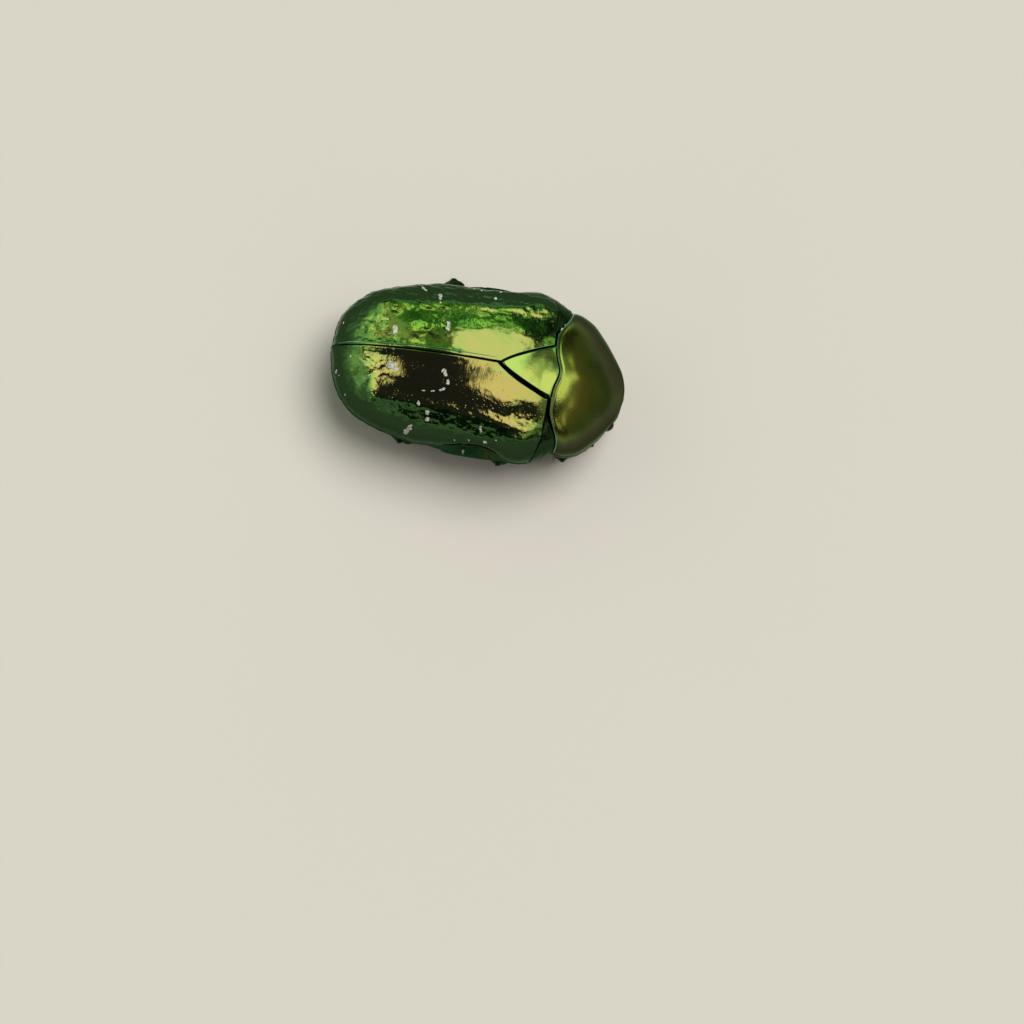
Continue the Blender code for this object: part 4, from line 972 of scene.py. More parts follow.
def limb(path, wide, thick, wide_axis, sides=32, outer=None, lowest=None):
    """Rings across a path. outer is extra width on the side that the wide axis points to."""
    direction = unit(np.gradient(path, axis=0))
    across = np.asarray(wide_axis, float) - direction * (direction @ np.asarray(wide_axis, float))[:, None]
    across = unit(across)
    upward = np.cross(direction, across)
    angle = 2 * math.pi * (np.arange(sides) + 0.5) / sides
    reach = wide[:, None] * np.ones(sides)
    if outer is not None:
        reach = reach + outer[:, None] * np.clip(np.cos(angle), 0, 1) ** 4
    rings = (path[:, None] + across[:, None] * (reach * np.cos(angle))[..., None]
             + upward[:, None] * (thick[:, None] * np.sin(angle))[..., None])
    if lowest is not None:
        rings[..., 2] = np.maximum(rings[..., 2], lowest)
    return rings


def thorn(root, tip, thickness, bend=(0, 0, 0)):
    """A small curved, tapered point."""
    shares = np.linspace(0, 1, 14)
    root, tip = np.asarray(root, float), np.asarray(tip, float)
    bow = np.asarray(bend, float) * (shares * (1 - shares) * 4)[:, None]
    path = root + (tip - root) * shares[:, None] + bow
    size = thickness * (1 - shares**1.6 * 0.93)
    return limb(path, size, size, (0.2, 0.3, 0.9), 10)


print("a limb is", limb(np.eye(3), np.ones(3), np.ones(3), (0, 0, 1)).shape, "rings by sides by axes")

# %% [markdown]
# ## Fine rims
#
# Two hair-thin rims show as pale lines: one along the base of the shield, and one along the raised
# inner edge of the left wing case. Their pale colour is a painted highlight on real raised rims,
# standing in for the light they catch. The edges themselves are too coarse to be modelled so finely,
# so each rim is a bead of its own, laid along a row of the grid and tapering off at both ends.

# %% Fine rims
# painted highlight: a pale metal on the two beads, for the light their edges catch
rim_highlight_metal = finish("rim_highlight_metal", grain(0.6, 2.0), [(0.35, (0.08, 0.34, 0.18)), (0.65, (0.40, 0.60, 0.46))],
                   [(grain(12.0), 0.006)], {"Metallic": 1.0, "Roughness": 0.3})


def rim_bead(name, path, radius, slot):
    shares = np.linspace(0, 1, len(path))
    size = radius * np.sqrt(np.sin(math.pi * np.clip(shares, 0.004, 0.996))) ** 0.7
    piece(name, *tube(limb(path, size, size, (0, 0, 1), 10)), rim_highlight_metal, slot)


BASE_RIM, SEAM_RIM = 0.045, 0.03            # radii of the two beads
SEAM_RIM_FRONT, SEAM_RIM_REAR = 0.1, -8.45
base_ring = shield_rings(np.array([0.0]), 361)[0][4:178]
rim_bead("pronotum_base_rim", base_ring + (BASE_RIM, 0, -0.02), BASE_RIM, "pronotum")
inner_edge = wing_grids["left"][:, 4]
inner_edge = inner_edge[(inner_edge[:, 0] < SEAM_RIM_FRONT) & (inner_edge[:, 0] > SEAM_RIM_REAR)]
rim_bead("seam_rim", inner_edge, SEAM_RIM, "wing_case")

# %% [markdown]
# ## Feelers and palps
#
# The feeler of this family has a stout first joint, a few small beads and a club of three leaves that
# open like a fan; at rest they lie shut. The palps are three beads under the mouth. Separate beads
# would leave gaps at the bends, so a stem is one tube that swells and narrows at each joint.

# %% Feelers and palps
STEM_ROOT = np.array((1.62, 1.7, -0.1))                 # along the head, out and up
STEM_BENDS = ((6.85, 1.95, 2.58), (6.45, 2.05, 2.7), (6.32, 1.62, 2.6))
STEM_JOINTS = [0.22, 0.15, 0.13, 0.13, 0.13, 0.15]      # half widths
PALP_ROOT = np.array((1.75, 0.55, -0.7))
PALP_BENDS = ((6.55, 0.62, 2.05), (6.35, 0.55, 1.45))
PALP_JOINTS = [0.17, 0.19, 0.2]
LEAF_WIDTH, LEAF_FLATNESS = 0.36, 0.33

feeler_horn = finish("feeler_horn", grain(1.6), [(0.3, (0.03, 0.014, 0.006)), (0.7, (0.10, 0.045, 0.016))],
                     [(grain(14.0), 0.006)], {"Roughness": 0.34, "Coat Weight": 0.25})


def beaded(points, widths, rings_each=16, sides=24, neck=0.5, lowest=None):
    """A jointed stem: each joint swells from its narrow root to its end."""
    count = len(widths)
    within = np.linspace(0, 1, rings_each)
    shape = neck + (1 - neck) * np.sin(math.pi / 2 * np.clip(within / 0.75, 0, 1)) ** 1.2
    shape = shape * np.sqrt(np.clip(1 - (np.clip(within - 0.86, 0, 1) / 0.15) ** 2, 0.16, 1))
    shares = (np.arange(count)[:, None] + within[None, :] * 0.985).reshape(-1) / count
    size = (np.asarray(widths)[:, None] * shape[None, :]).reshape(-1)
    path, length = smooth_path(points, shares)
    size = size * rounded_ends(shares, length, 0.12)
    return limb(path, size, size, (0, 0, 1), sides, lowest=lowest)


def beside_head(points, sign):
    """Points given for the left side of a straight head, at one side of the head as it is held."""
    return [(x, sign * y + HEAD_ASIDE, z) for x, y, z in points]


def club_leaf(number, sign):
    """One leaf of a feeler's club: -1 behind, 0 in the middle, 1 in front."""
    top = np.array((6.3, sign * 1.48, 2.5)) + (0.11 * number, HEAD_ASIDE, 0)
    foot = np.array((6.15, sign * 1.3, 1.3)) + (0.2 * number, HEAD_ASIDE, 0.05 * abs(number))
    shares = (1 - np.cos(np.linspace(0, math.pi, 40))) / 2
    path, length = smooth_path([top, (top + foot) / 2 + (0.05 * number, 0, 0), foot], shares)
    shape = LEAF_WIDTH * curve([(0, 0.45), (0.3, 0.85), (0.6, 1.0), (1, 0.8)], shares)
    size = shape * rounded_ends(shares, length, 0.3)
    return limb(path, size, size * LEAF_FLATNESS, (0, 1, 0), 28)


for side, sign in SIDES:
    path = [on_head(*STEM_ROOT * (1, sign, 1))] + beside_head(STEM_BENDS, sign)
    stem = tube(beaded(path, STEM_JOINTS))
    piece("feeler_stem_" + side, *stem, feeler_horn, "feeler", "antenna_stem_" + side)
    club = joined([tube(club_leaf(number, sign)) for number in (-1, 0, 1)])
    piece("feeler_club_" + side, *club, feeler_horn, "feeler", "antenna_club_" + side)
    path = [on_head(*PALP_ROOT * (1, sign, 1))] + beside_head(PALP_BENDS, sign)
    palp = tube(beaded(path, PALP_JOINTS))
    piece("palp_beads_" + side, *palp, feeler_horn, "feeler", "palp_" + side)

# %% [markdown]
# ## Legs
#
# Each leg is a hip that turns in the body, a flat thigh, a shin that widens to the foot and carries
# teeth on its outer edge, and a foot of five short joints with two claws. A rig of bones could pose
# them, but this beetle holds still, so a table says where each joint lies. The right legs mirror the
# left ones, except that the left hind knee stands out further.

# %% Joints and finishes of the legs
LEGS = {
    "fore": {"coxa": (5.1, 0.62, 2.0), "coxa_size": (0.5, 0.45, 0.62), "hip": (5.15, 0.95, 1.62),
             "knee": (4.95, 3.82, 2.02), "ankle": (6.8, 2.05, 0.8),
             "toes": [(6.85, 1.5, 0.3), (6.4, 1.05, 0.27), (5.8, 0.82, 0.27), (5.1, 0.67, 0.27)],
             "femur": (0.55, 0.4), "tibia": (0.5, 0.28), "teeth": (0.5, 0.72, 0.95)},
    "mid": {"coxa": (1.9, 0.95, 1.95), "coxa_size": (0.5, 0.6, 0.55), "hip": (1.9, 1.35, 1.6),
            "knee": (1.72, 4.6, 1.9), "ankle": (-0.95, 2.85, 0.8),
            "toes": [(-1.35, 2.6, 0.3), (-2.1, 2.2, 0.27), (-2.9, 1.85, 0.27), (-3.6, 1.6, 0.27)],
            "femur": (0.6, 0.42), "tibia": (0.42, 0.3), "teeth": (0.55,)},
    "hind": {"coxa": (-1.3, 1.5, 2.1), "coxa_size": (0.6, 1.35, 0.5), "hip": (-2.2, 1.1, 1.62),
             "knee": (-3.95, 4.2, 1.9), "ankle": (-6.3, 2.15, 0.8),
             "toes": [(-6.6, 1.85, 0.3), (-7.0, 1.4, 0.27), (-7.0, 0.9, 0.27), (-6.5, 0.55, 0.27)],
             "femur": (0.68, 0.42), "tibia": (0.45, 0.32), "teeth": (0.55,)},
}
LEFT_HIND = {"hip": (-2.3, 1.2, 1.55), "knee": (-2.2, 5.3, 2.5), "ankle": (-5.3, 3.2, 0.8),
             "toes": [(-5.65, 2.9, 0.3), (-6.2, 2.4, 0.27), (-6.8, 1.9, 0.27), (-7.2, 1.3, 0.27)]}

leg_metal = finish(
    "leg_metal", grain(1.5),
    [(0.3, (0.006, 0.018, 0.010)), (0.6, (0.012, 0.040, 0.016)), (0.8, (0.035, 0.035, 0.012))],
    [(pits(6.0, 0.06, 0.35), 0.02), (grain(10.0, 3.0, (1, 1, 0.4)), 0.012)],
    {"Metallic": 0.85, "Specular Tint": (0.5, 0.7, 0.6, 1), "Roughness": 0.3})
foot_horn = finish("foot_horn", grain(2.0), [(0.3, (0.006, 0.010, 0.008)), (0.7, (0.022, 0.022, 0.014))],
                   [(grain(12.0), 0.01)], {"Metallic": 0.25, "Roughness": 0.32})


def leg_joints(pair, sign):
    plan = dict(LEGS[pair])
    if pair == "hind" and sign > 0:
        plan.update(LEFT_HIND)
    for key in ("coxa", "hip", "knee", "ankle", "toes"):
        plan[key] = np.asarray(plan[key], float) * (1, sign, 1)
    return plan


print("the left hind knee stands", round(LEFT_HIND["knee"][1] - LEGS["hind"]["knee"][1], 2), "mm further out")

# %% [markdown]
# ## Thigh, shin and foot
#
# A thigh is a limb that swells in its first third. A shin widens to the foot; its teeth are extra
# width on the outer edge, each rising slowly and ending short, and two spurs stand at its end. The
# foot is beaded like a feeler and lies on the floor with its claws spread.

# %% Thigh, shin and foot
THIGH_SHAPE = [(0, 0.55), (0.05, 0.66), (0.1, 0.56), (0.2, 0.88), (0.37, 1.0), (0.54, 0.97), (0.72, 0.84),
               (0.88, 0.7), (0.97, 0.66), (1, 0.6)]
SHIN_SHAPE = [(0, 0.5), (0.05, 0.62), (0.12, 0.52), (0.3, 0.6), (0.55, 0.74), (0.8, 0.93), (0.94, 1.0),
              (1, 0.92)]
TOOTH_LENGTH, TOOTH_HEIGHT = 0.13, 0.28     # as shares of the shin's length and half width
TOE_JOINTS = [0.2, 0.19, 0.19, 0.19, 0.2]
CLAW_LENGTH, CLAW_SPREAD, CLAW_HEIGHT = 0.62, 0.34, 0.045


def thigh_rings(plan):
    shares = (1 - np.cos(np.linspace(0, math.pi, 80))) / 2
    wide, thick = plan["femur"]
    shape = curve(THIGH_SHAPE, shares)
    path, length = smooth_path([plan["hip"], (plan["hip"] + plan["knee"]) / 2, plan["knee"]], shares)
    ends = rounded_ends(shares, length, 0.3)
    return limb(path, wide * shape * ends, thick * np.minimum(shape + 0.08, 1) * ends, (1, 0, 0), 40)


def shin_parts(plan, sign):
    """The shin and its two spurs."""
    wide, thick = plan["tibia"]
    knee, ankle = plan["knee"], plan["ankle"]
    even = (1 - np.cos(np.linspace(0, math.pi, 90))) / 2
    shares = np.unique(np.concatenate([even, np.linspace(0.35, 1, 60)]))
    direction = unit(ankle - knee)
    outer = unit(np.array((0, sign, 0.0)) - direction * (direction @ (0, sign, 0)))
    shape = curve(SHIN_SHAPE, shares)
    tooth = sum(np.clip((shares - at + TOOTH_LENGTH) / TOOTH_LENGTH, 0, 1) ** 1.4
                * (1 - eased(shares, at, at + 0.035)) for at in plan["teeth"])
    path, length = smooth_path([knee, (knee + ankle) / 2, ankle], shares)
    ends = rounded_ends(shares, length, 0.22)
    rings = limb(path, wide * shape * ends * 0.92, thick * np.maximum(shape, 0.7) * ends, outer, 40,
                 wide * TOOTH_HEIGHT * tooth * ends)
    end = ankle - direction * 0.12
    spurs = []
    for k in (0, 1):
        tip = (end - outer * wide * (0.5 + 0.25 * k) + direction * (0.62 - 0.14 * k)
               + np.cross(direction, outer) * 0.16 * (2 * k - 1))
        spurs.append(thorn(end - outer * wide * 0.45, tip, 0.09))
    return [rings] + spurs


def foot_parts(plan):
    """The foot and its two claws."""
    onward = unit(plan["ankle"] - plan["knee"])
    toes = plan["toes"].copy()
    toes[:, 2] -= (0.03, 0.06, 0.07, 0.07)
    path = np.concatenate([[plan["ankle"] + onward * 0.1], toes])
    rings = beaded(path, TOE_JOINTS, 18, 24, 0.55, lowest=0.0)
    forward = unit(toes[-1] - toes[-2])
    aside = unit(np.cross(forward, (0, 0, 1)))
    root = toes[-1] - forward * 0.1
    claws = []
    for turn in (-1, 1):
        tip = root + forward * CLAW_LENGTH + aside * turn * CLAW_SPREAD
        tip[2] = CLAW_HEIGHT
        bow = aside * turn * 0.07 + np.array((0, 0, 0.1))
        claws.append(thorn(root + aside * turn * 0.06, tip, 0.085, bow))
    return [rings] + claws


print("a thigh has", len(thigh_rings(leg_joints("mid", 1))), "rings")

# %% [markdown]
# ## Six legs
#
# Every leg gives four pieces, and each stands for one solid of the frame. The rings of the thighs and
# shins are kept, because bristles grow from them later.

# %% Six legs
leg_rings = {}
for side, sign in SIDES:
    for pair in LEGS:
        plan = leg_joints(pair, sign)
        hip = egg(plan["coxa"], plan["coxa_size"], np.eye(3), 36, 56)
        thigh, shin = thigh_rings(plan), shin_parts(plan, sign)
        leg_rings[pair, side] = thigh, shin[0]
        for word, parts, slot, metal, covered in (
                ("hip", [hip], "leg", leg_metal, "coxa"), ("thigh", [thigh], "leg", leg_metal, "femur"),
                ("shin", shin, "leg", leg_metal, "tibia"),
                ("foot", foot_parts(plan), "foot", foot_horn, "tarsus")):
            made = joined([tube(rings) for rings in parts])
            piece(f"{word}_{pair}_{side}", *made, metal, slot, f"{covered}_{pair}_{side}")

# %% [markdown]
# ## Chalky marks
#
# The white flecks of this beetle are a crust of wax-like scales in shallow dents of the shell. They
# could be painted on, but they are thick enough to cast a tiny shadow. So each is a thin pad that
# follows the surface under it: its middle line is laid on the skin, its width wavers, and its rim dips
# just below the surface so that it grows out of it instead of floating.

# %% A chalky pad
OVERHEAD = 8.6                  # a point with no height of its own is dropped onto the skin from here
PAD_ROWS, PAD_COLUMNS = 26, 13
PAD_RIM, PAD_CROWN, PAD_GRAIN, PAD_DEPTH = -0.014, 0.028, 0.018, 0.05
chalk = finish("chalky_crust", grain(9.0),
               [(0.36, (0.24, 0.27, 0.20)), (0.5, (0.56, 0.58, 0.50)), (0.68, (0.76, 0.77, 0.71))],
               [(grain(22.0), 0.02)], {"Roughness": 0.85})


def chalk_pad(skin, line, width, seed):
    """A pad on a surface along a line of points. A line of one point makes a round dot."""
    line = np.array([(*point, OVERHEAD)[:3] for point in line], float)
    if len(line) == 1:
        line = line + np.array([(-0.35 * width, 0, 0), (0.35 * width, 0.1 * width, 0)])
    else:
        line = np.concatenate([line[:1] + 0.2 * width * unit(line[:1] - line[1:2]), line[1:]])
    share = np.linspace(0, 1, PAD_ROWS)
    middle, length = smooth_path(line, share)
    laid = []
    for point in middle:
        if point[2] > OVERHEAD - 0.1:
            laid.append(skin.ray_cast(Vector(point), Vector((0, 0, -1)))[:2])
        else:
            laid.append(skin.find_nearest(Vector(point))[:2])
    centre = np.array([spot for spot, normal in laid])
    normal = unit(np.array([normal for spot, normal in laid]))
    aside = unit(np.cross(normal, np.gradient(centre, axis=0)))
    across = np.linspace(-1, 1, PAD_COLUMNS)
    ends = np.sqrt(np.clip(1 - np.abs(2 * share - 1) ** 4, 0.01, 1))
    waver = 0.85 + 0.6 * hills(share[:, None] * length / 0.14, np.sign(across)[None, :] * 2.5 + seed, seed)
    reach = 0.64 * width * ends[:, None] * waver * across[None, :]
    grid = centre[:, None] + aside[:, None] * reach[..., None]
    dome = (1 - across[None, :] ** 2) * ends[:, None] ** 2
    rough = hills(share[:, None] * length / 0.05, across[None, :] * width / 0.1, seed + 3)
    lift = PAD_RIM + PAD_CROWN * dome**0.6 + PAD_GRAIN * rough * dome
    for i in range(PAD_ROWS):
        for j in range(PAD_COLUMNS):
            spot, face_normal = skin.find_nearest(Vector(grid[i, j]))[:2]
            grid[i, j] = np.array(spot) + np.array(face_normal) * lift[i, j]
    return plate(grid, PAD_DEPTH, normal[PAD_ROWS // 2], {})


print("a pad has", PAD_ROWS * PAD_COLUMNS, "points on its face")

# %% [markdown]
# ## Where the marks lie
#
# No two of these beetles are marked alike, so the marks of the wing cases are placed one by one, each
# by its middle line and its width. The flanks are steep, and there a point has a height as well. The
# side of the thorax and the belly plates carry pale patches of the same crust, in rows.

# %% Marks
RIGHT_MARKS = [      # the middle line seen from above, with heights where it is steep, and the width
    ([(-5.66, -0.84), (-5.40, -1.05), (-5.12, -1.28)], 0.42), ([(-2.76, -0.86), (-2.50, -1.22)], 0.24),
    ([(-2.40, -1.40), (-2.40, -1.66)], 0.20), ([(-2.52, -1.86), (-2.82, -2.00)], 0.15),
    ([(-3.05, -2.06), (-3.24, -2.10)], 0.11), ([(-3.52, -2.12), (-3.72, -2.13)], 0.09),
    ([(-3.78, -2.83)], 0.27), ([(-3.22, -3.12), (-3.18, -3.30)], 0.21),
    ([(-3.17, -3.44), (-3.15, -3.62)], 0.24),
    ([(-3.89, -3.82, 6.05), (-4.03, -4.05, 5.5), (-4.14, -4.21, 4.95)], 0.27), ([(-1.45, -4.24, 5.8)], 0.16),
    ([(-0.70, -4.19, 6.1)], 0.15), ([(-0.26, -3.50), (-0.18, -3.81)], 0.19), ([(0.16, -4.20, 6.3)], 0.33),
    ([(0.71, -4.06)], 0.09), ([(-1.27, -2.60)], 0.09), ([(-7.68, -0.64)], 0.12),
    ([(-8.35, -1.42, 4.87)], 0.22), ([(-8.22, -1.64, 5.03)], 0.15), ([(-7.76, -2.67, 5.0)], 0.14)]
LEFT_MARKS = [
    ([(-5.56, 1.20), (-5.58, 0.64)], 0.26), ([(-3.40, 3.39), (-3.37, 2.98)], 0.21),
    ([(-3.36, 2.86), (-3.36, 2.74)], 0.13),
    ([(-2.86, 1.79), (-2.80, 1.45), (-2.73, 1.22)], 0.23), ([(-4.38, 3.81, 5.85), (-4.11, 3.48, 6.4)], 0.16),
    ([(-1.57, 4.11, 6.1)], 0.15), ([(-1.17, 4.03, 6.3)], 0.17),
    ([(-0.18, 4.08, 6.4), (-0.02, 4.08, 6.4)], 0.13),
    ([(-0.42, 3.56)], 0.25), ([(-8.28, 1.29, 5.1)], 0.2)]
THORAX_MARKS = [([(-1.20, -4.60, 4.05), (-1.42, -4.62, 4.04), (-1.62, -4.60, 4.03)], 0.34)]
BELLY_MARKS = [([(x + 0.05, sign * half, 3.15), (x, sign * half * 0.95, 2.75)], 0.30) for sign in (-1, 1)
               for x, half in ((-2.35, 4.25), (-3.37, 4.1), (-4.4, 3.85), (-5.4, 3.55))]
FIRST_PAD_SEED = 40
for place, skin, marks, slot in (
        ("right", "right", RIGHT_MARKS, "wing_case"), ("left", "left", LEFT_MARKS, "wing_case"),
        ("thorax", "thorax_underside", THORAX_MARKS, "underside"),
        ("belly", "belly_plates", BELLY_MARKS, "underside")):
    pads = [chalk_pad(skins[skin], line, width, FIRST_PAD_SEED + number)
            for number, (line, width) in enumerate(marks)]
    piece("chalk_marks_" + place, *joined(pads), chalk, slot)

# %% [markdown]
# ## Bristles
#
# The shell is bare, but the underside and the legs carry short pale bristles. Blender's own hair would
# not come along as a mesh, so each is a thin three-sided spike with a slight bend, its root just under
# the surface that it grows from. Roots are picked at random on a patch of rings.

# %% Roots of bristles
bristle_horn = finish("pale_bristle", grain(1.2, 2.0),
                      [(0.35, (0.30, 0.22, 0.11)), (0.65, (0.55, 0.46, 0.28))], [], {"Roughness": 0.45})


def roots(rings, rows, columns, count, seed):
    """Random places on a set of rings: where, which way out, which way along, and how far through."""
    random = np.random.default_rng(seed)
    i = random.uniform(*rows, count) * (len(rings) - 2)
    j = random.uniform(*columns, count) * rings.shape[1]
    i0, j0 = i.astype(int), np.floor(j).astype(int)
    s, t = (i - i0)[:, None], (j - j0)[:, None]
    sides = rings.shape[1]
    corners = [[rings[i0 + a, (j0 + b) % sides] for b in (0, 1)] for a in (0, 1)]
    spot = (corners[0][0] * (1 - s) * (1 - t) + corners[0][1] * (1 - s) * t + corners[1][0] * s * (1 - t)
            + corners[1][1] * s * t)
    along = unit(corners[1][0] - corners[0][0])
    out = unit(np.cross(along, corners[0][1] - corners[0][0]))
    from_middle = spot - rings[i0].mean(1)
    out = out * np.sign((out * from_middle).sum(1, keepdims=True))
    return spot, out, along, np.stack([i / len(rings), (j % sides) / sides], -1)


print("a root:", [part.shape for part in roots(thorax_rings, (0.1, 0.95), (0.27, 0.42), 1, 0)])

# %% [markdown]
# ## Spikes from roots
#
# All bristles of one kind are one mesh, which is quick to make from arrays. Its map of the surface ties
# every spike to the place of its own root, so that a colour baked on the map stays even along it.

# %% A coat of bristles
SPIKE_LEVELS = ((-0.08, 1.0), (0.35, 0.85), (0.7, 0.5))     # how far along the spike, and how wide
SPIKE_POINTS = 10
ROOT_SPOT = 0.0015      # how much of the map a spike takes up


def bristles(name, patches, length, slot, lean, width, seed):
    """All bristles of one kind as one mesh, with a map that ties each to the place of its root."""
    spot, out, along, place = (np.concatenate(parts) for parts in zip(*patches))
    random = np.random.default_rng(seed)
    count = len(spot)
    long = random.uniform(*length, count)[:, None]
    aim = unit(out + along * lean + random.normal(0, 0.22, (count, 3)))
    bend = along * 0.25 + random.normal(0, 0.06, (count, 3)) + (0, 0, -0.08)
    beside = unit(np.cross(aim, out + 0.01))
    below = unit(np.cross(aim, beside))
    points = []
    for share, slim in SPIKE_LEVELS:
        middle = spot + (aim * share + bend * max(share, 0) ** 2) * long
        for n in range(3):
            turn = 2 * math.pi * n / 3
            points.append(middle + (beside * math.cos(turn) + below * math.sin(turn)) * width * slim)
    points.append(spot + (aim + bend) * long)
    points = np.stack(points, 1)
    single = [(b + n, b + (n + 1) % 3, b + 3 + (n + 1) % 3, b + 3 + n) for b in (0, 3) for n in range(3)]
    single += [(6 + n, 6 + (n + 1) % 3, 9) for n in range(3)] + [(2, 1, 0)]
    faces = [tuple(SPIKE_POINTS * hair + n for n in face) for hair in range(count) for face in single]
    made = piece(name, points, faces, bristle_horn, slot)
    corner = np.array([(-1, -1), (1, -1), (0, 1)]) * ROOT_SPOT
    near = np.stack([corner[n % 3] for n in range(9)] + [corner[2] * 0.5])
    tied = (0.01 + 0.98 * place[:, None] + near[None]).reshape(-1, 2)
    loops = np.zeros(len(made.data.loops), int)
    made.data.loops.foreach_get("vertex_index", loops)
    uv_map = made.data.uv_layers.new(name="OFBake")
    uv_map.data.foreach_set("uv", tied[loops].ravel())


print("a bristle has", SPIKE_POINTS, "points")

# %% [markdown]
# ## Fringes and coat
#
# The thighs and shins carry fringes on both edges, and the sides of the thorax a sparse coat. Each
# patch of roots gets a tile of its own on the map, so that no two patches share a place there.

# %% Fringes and coat
THIGH_FRINGES = [((0.12, 0.9), (0.44, 0.56), 46), ((0.2, 0.85), (-0.06, 0.06), 26)]     # rows, columns, count
SHIN_FRINGES = [((0.2, 0.92), (0.42, 0.58), 44), ((0.3, 0.95), (0.2, 0.3), 14)]
COAT = [((0.27, 0.42), 7), ((0.58, 0.73), 8)]       # columns and seed of the left and the right half
LEG_TILES, COAT_TILES, FIRST_FRINGE_SEED, BRISTLE_WIDTH = 5, 2, 60, 0.012


def tiled(patch, column, row, tiles):
    """A patch of roots moved to one tile of the map."""
    spot, out, along, place = patch
    return spot, out, along, (place + (column, row)) / tiles


leg_patches, tile = [], 0
for thigh, shin in leg_rings.values():
    for rings, fringes in ((thigh, THIGH_FRINGES), (shin, SHIN_FRINGES)):
        for rows, columns, count in fringes:
            patch = roots(rings, rows, columns, count, FIRST_FRINGE_SEED + tile)
            leg_patches.append(tiled(patch, tile % LEG_TILES, tile // LEG_TILES, LEG_TILES))
            tile += 1
bristles("leg_bristles", leg_patches, (0.28, 0.5), "leg", 0.8, BRISTLE_WIDTH, 1)
coat = [tiled(roots(thorax_rings, (0.1, 0.95), columns, 260, seed), number, 0, COAT_TILES)
        for number, (columns, seed) in enumerate(COAT)]
bristles("thorax_coat", coat, (0.25, 0.42), "underside", 1.2, BRISTLE_WIDTH, 2)

# %% [markdown]
# ## What the shell reflects
#
# A mirror shows the room, so the room is drawn in the surrounding light. It is pale near the horizon,
# like the floor, and nearly black above. Round soft cards hang in it: bright ones where the shell
# gleams gold and green, and a dark one high on the right, for the black sheen of the right wing case.
# Area lamps could do the same, but cards in the background cost no time and cast no hard shadow.

# %% Soft cards
def mixed(tree, share, first, second):
    """One colour into another by a share. first is a node's output, second a plain colour."""
    made = node(tree, "ShaderNodeMix", data_type="RGBA")
    for index, value in ((0, share), (6, first)):
        tree.links.new(value, made.inputs[index])
    made.inputs[7].default_value = (*second, 1)
    return made.outputs[2]


def soft_card(tree, direction, ahead, left, inner, outer):
    """1 in a round patch of the surroundings that lies so many degrees ahead and left of the zenith,
    fading out between its inner and outer angle."""
    tilt, turn = math.radians(math.hypot(ahead, left)), math.atan2(left, ahead)
    axis = (math.sin(tilt) * math.cos(turn), math.sin(tilt) * math.sin(turn), math.cos(tilt))
    dot = node(tree, "ShaderNodeVectorMath", {0: direction, 1: axis}, operation="DOT_PRODUCT")
    dark_from, full_from = math.cos(math.radians(outer)), math.cos(math.radians(inner))
    fade = node(tree, "ShaderNodeMapRange", {"Value": dot.outputs["Value"], "From Min": dark_from,
                                             "From Max": full_from}, interpolation_type="SMOOTHSTEP")
    return fade.outputs["Result"]


print("a card 10 degrees wide fills", round((1 - math.cos(math.radians(5))) * 100, 2), "% of the sky")

# %% [markdown]
# ## The surrounding light
#
# The cards are placed by reading the model like a mirror: a patch of the shell that faces one way
# shows the part of the sky at twice that tilt. The wide ones make the large fields of gold, green and
# black, and the small ones the sparkle on the left flank and the flecks of gold on the right.

# %% Surrounding light
SOFT_CARDS = [      # degrees ahead and left of the zenith, inner and outer angle, colour
    (0, 74, 12, 24, (0.95, 1.02, 0.95)),
    (-70, 0, 9, 18, (0.30, 0.32, 0.30)),
    (62, 6, 30, 46, (0.21, 0.20, 0.15)),
    (-5, 50, 16, 28, (0.09, 0.19, 0.07)),
    (-6, -60, 20, 27, (0.016, 0.021, 0.028)),
    (-34, 26, 6, 12, (0.25, 0.38, 0.20)),
    (-58, 32, 12, 17, (0.92, 1.05, 0.75)),
    (-62, 4, 10, 15, (0.95, 0.97, 0.85)),
    (-47, 0, 9, 15, (0.95, 0.95, 0.85)),
    (-52, -34, 5, 10, (0.80, 0.80, 0.70)),
    (-66, -22, 5, 12, (0.34, 0.34, 0.28)),
    (-78, -14, 8, 14, (0.80, 0.85, 0.70)),
    (-50, -44, 8, 13, (0.95, 0.95, 0.85)),
    (28, 8, 5, 10, (0.5, 0.5, 0.4)),
    (16, -3, 13, 17, (0.87, 0.82, 0.72)),
    (7, 20, 10, 16, (0.80, 0.92, 0.80)),
    (38, 12, 6, 11, (0.95, 0.95, 0.85)),
    (20, -48, 4, 11, (0.50, 0.46, 0.34)),
    (36, -34, 3, 9, (0.60, 0.55, 0.42)),
    (1, 41, 2, 5, (0.70, 1.10, 0.50)),
    (-19, 36, 2, 5, (0.70, 1.10, 0.50)),
    (12, 38, 1, 4, (0.70, 1.10, 0.50)),
    (33, 31, 2, 6, (0.70, 1.00, 0.50)),
    (-33, 44, 2, 6, (0.60, 0.90, 0.45)),
    (-15, 61, 2, 6, (0.70, 1.00, 0.60)),
    (-8, 52, 1, 4, (0.70, 1.10, 0.50)),
    (5, 66, 2, 5, (0.80, 1.20, 0.60)),
    (-22, 12, 1, 5, (0.50, 0.50, 0.40)),
    (46, -18, 2, 6, (0.70, 0.70, 0.60)),
]
world = bpy.data.worlds.new("studio")
bpy.context.scene.world = world
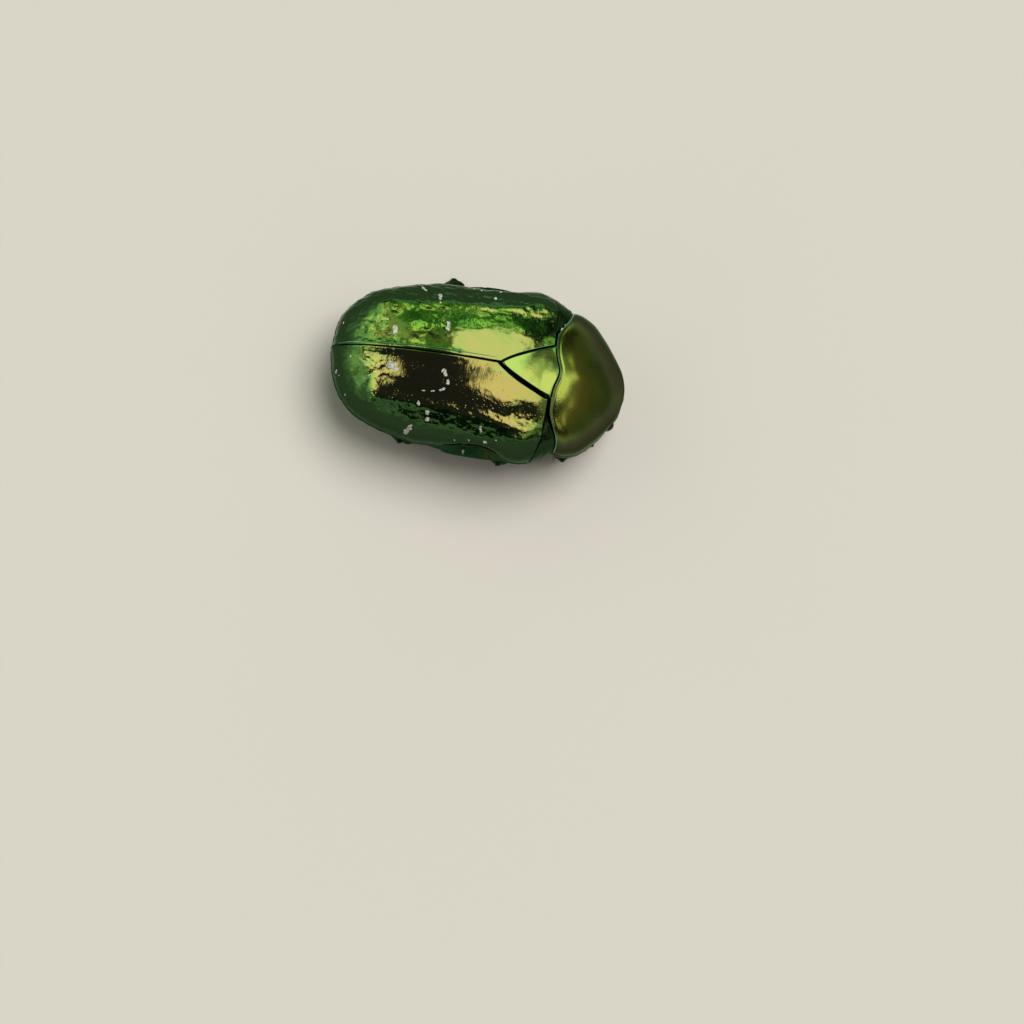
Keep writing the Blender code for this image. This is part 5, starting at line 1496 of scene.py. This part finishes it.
world.use_nodes = True
tree = world.node_tree
background = tree.nodes["Background"]
direction = node(tree, "ShaderNodeTexCoord").outputs["Generated"]
height = node(tree, "ShaderNodeSeparateXYZ", {0: direction}).outputs["Z"]
colour = ramp(tree, height, [(0.0, (0.685, 0.67, 0.57)), (0.1, (0.66, 0.645, 0.55)),
                             (0.17, (0.36, 0.36, 0.33)), (0.36, (0.034, 0.037, 0.040)),
                             (0.7, (0.014, 0.016, 0.028))])
for ahead, left, inner, outer, card in SOFT_CARDS:
    colour = mixed(tree, soft_card(tree, direction, ahead, left, inner, outer), colour, card)
tree.links.new(colour, background.inputs["Color"])
background.inputs["Strength"].default_value = 1.0
print("cards in the surrounding light:", len(SOFT_CARDS))

# %% [markdown]
# ## Lamp and floor
#
# A wide soft lamp gives the floor its light and the beetle its gentle shadow. It is hidden from
# reflections, since the cards are there for those. The floor is plain, matt and pale.

# %% Lamp and floor
FLOOR_HALF = 2.0        # metres, so that its edge stays out of sight

lamp_data = bpy.data.lights.new("soft_overhead", "SUN")
lamp_data.angle = math.radians(38)
lamp_data.energy = 2.0
lamp_data.color = (1.0, 0.97, 0.93)
lamp = bpy.data.objects.new("soft_overhead", lamp_data)
bpy.context.scene.collection.objects.link(lamp)
lamp.location = (0.08, 0.12, 0.4)
lamp.rotation_euler = Vector(lamp.location).to_track_quat("Z", "Y").to_euler()
lamp.visible_glossy = False

floor_material, tree, shader = tree_of("pale_floor")
shader.inputs["Base Color"].default_value = (0.78, 0.74, 0.70, 1)
shader.inputs["Roughness"].default_value = 0.7
mesh = bpy.data.meshes.new("floor")
corners = [(x * FLOOR_HALF, y * FLOOR_HALF, 0) for x, y in ((-1, -1), (1, -1), (1, 1), (-1, 1))]
mesh.from_pydata(corners, [], [(0, 1, 2, 3)])
mesh.materials.append(floor_material)
floor = bpy.data.objects.new("floor", mesh)
bpy.context.scene.collection.objects.link(floor)
bpy.context.scene.view_settings.view_transform = "Standard"
print("lit by", lamp.name, "and", world.name)
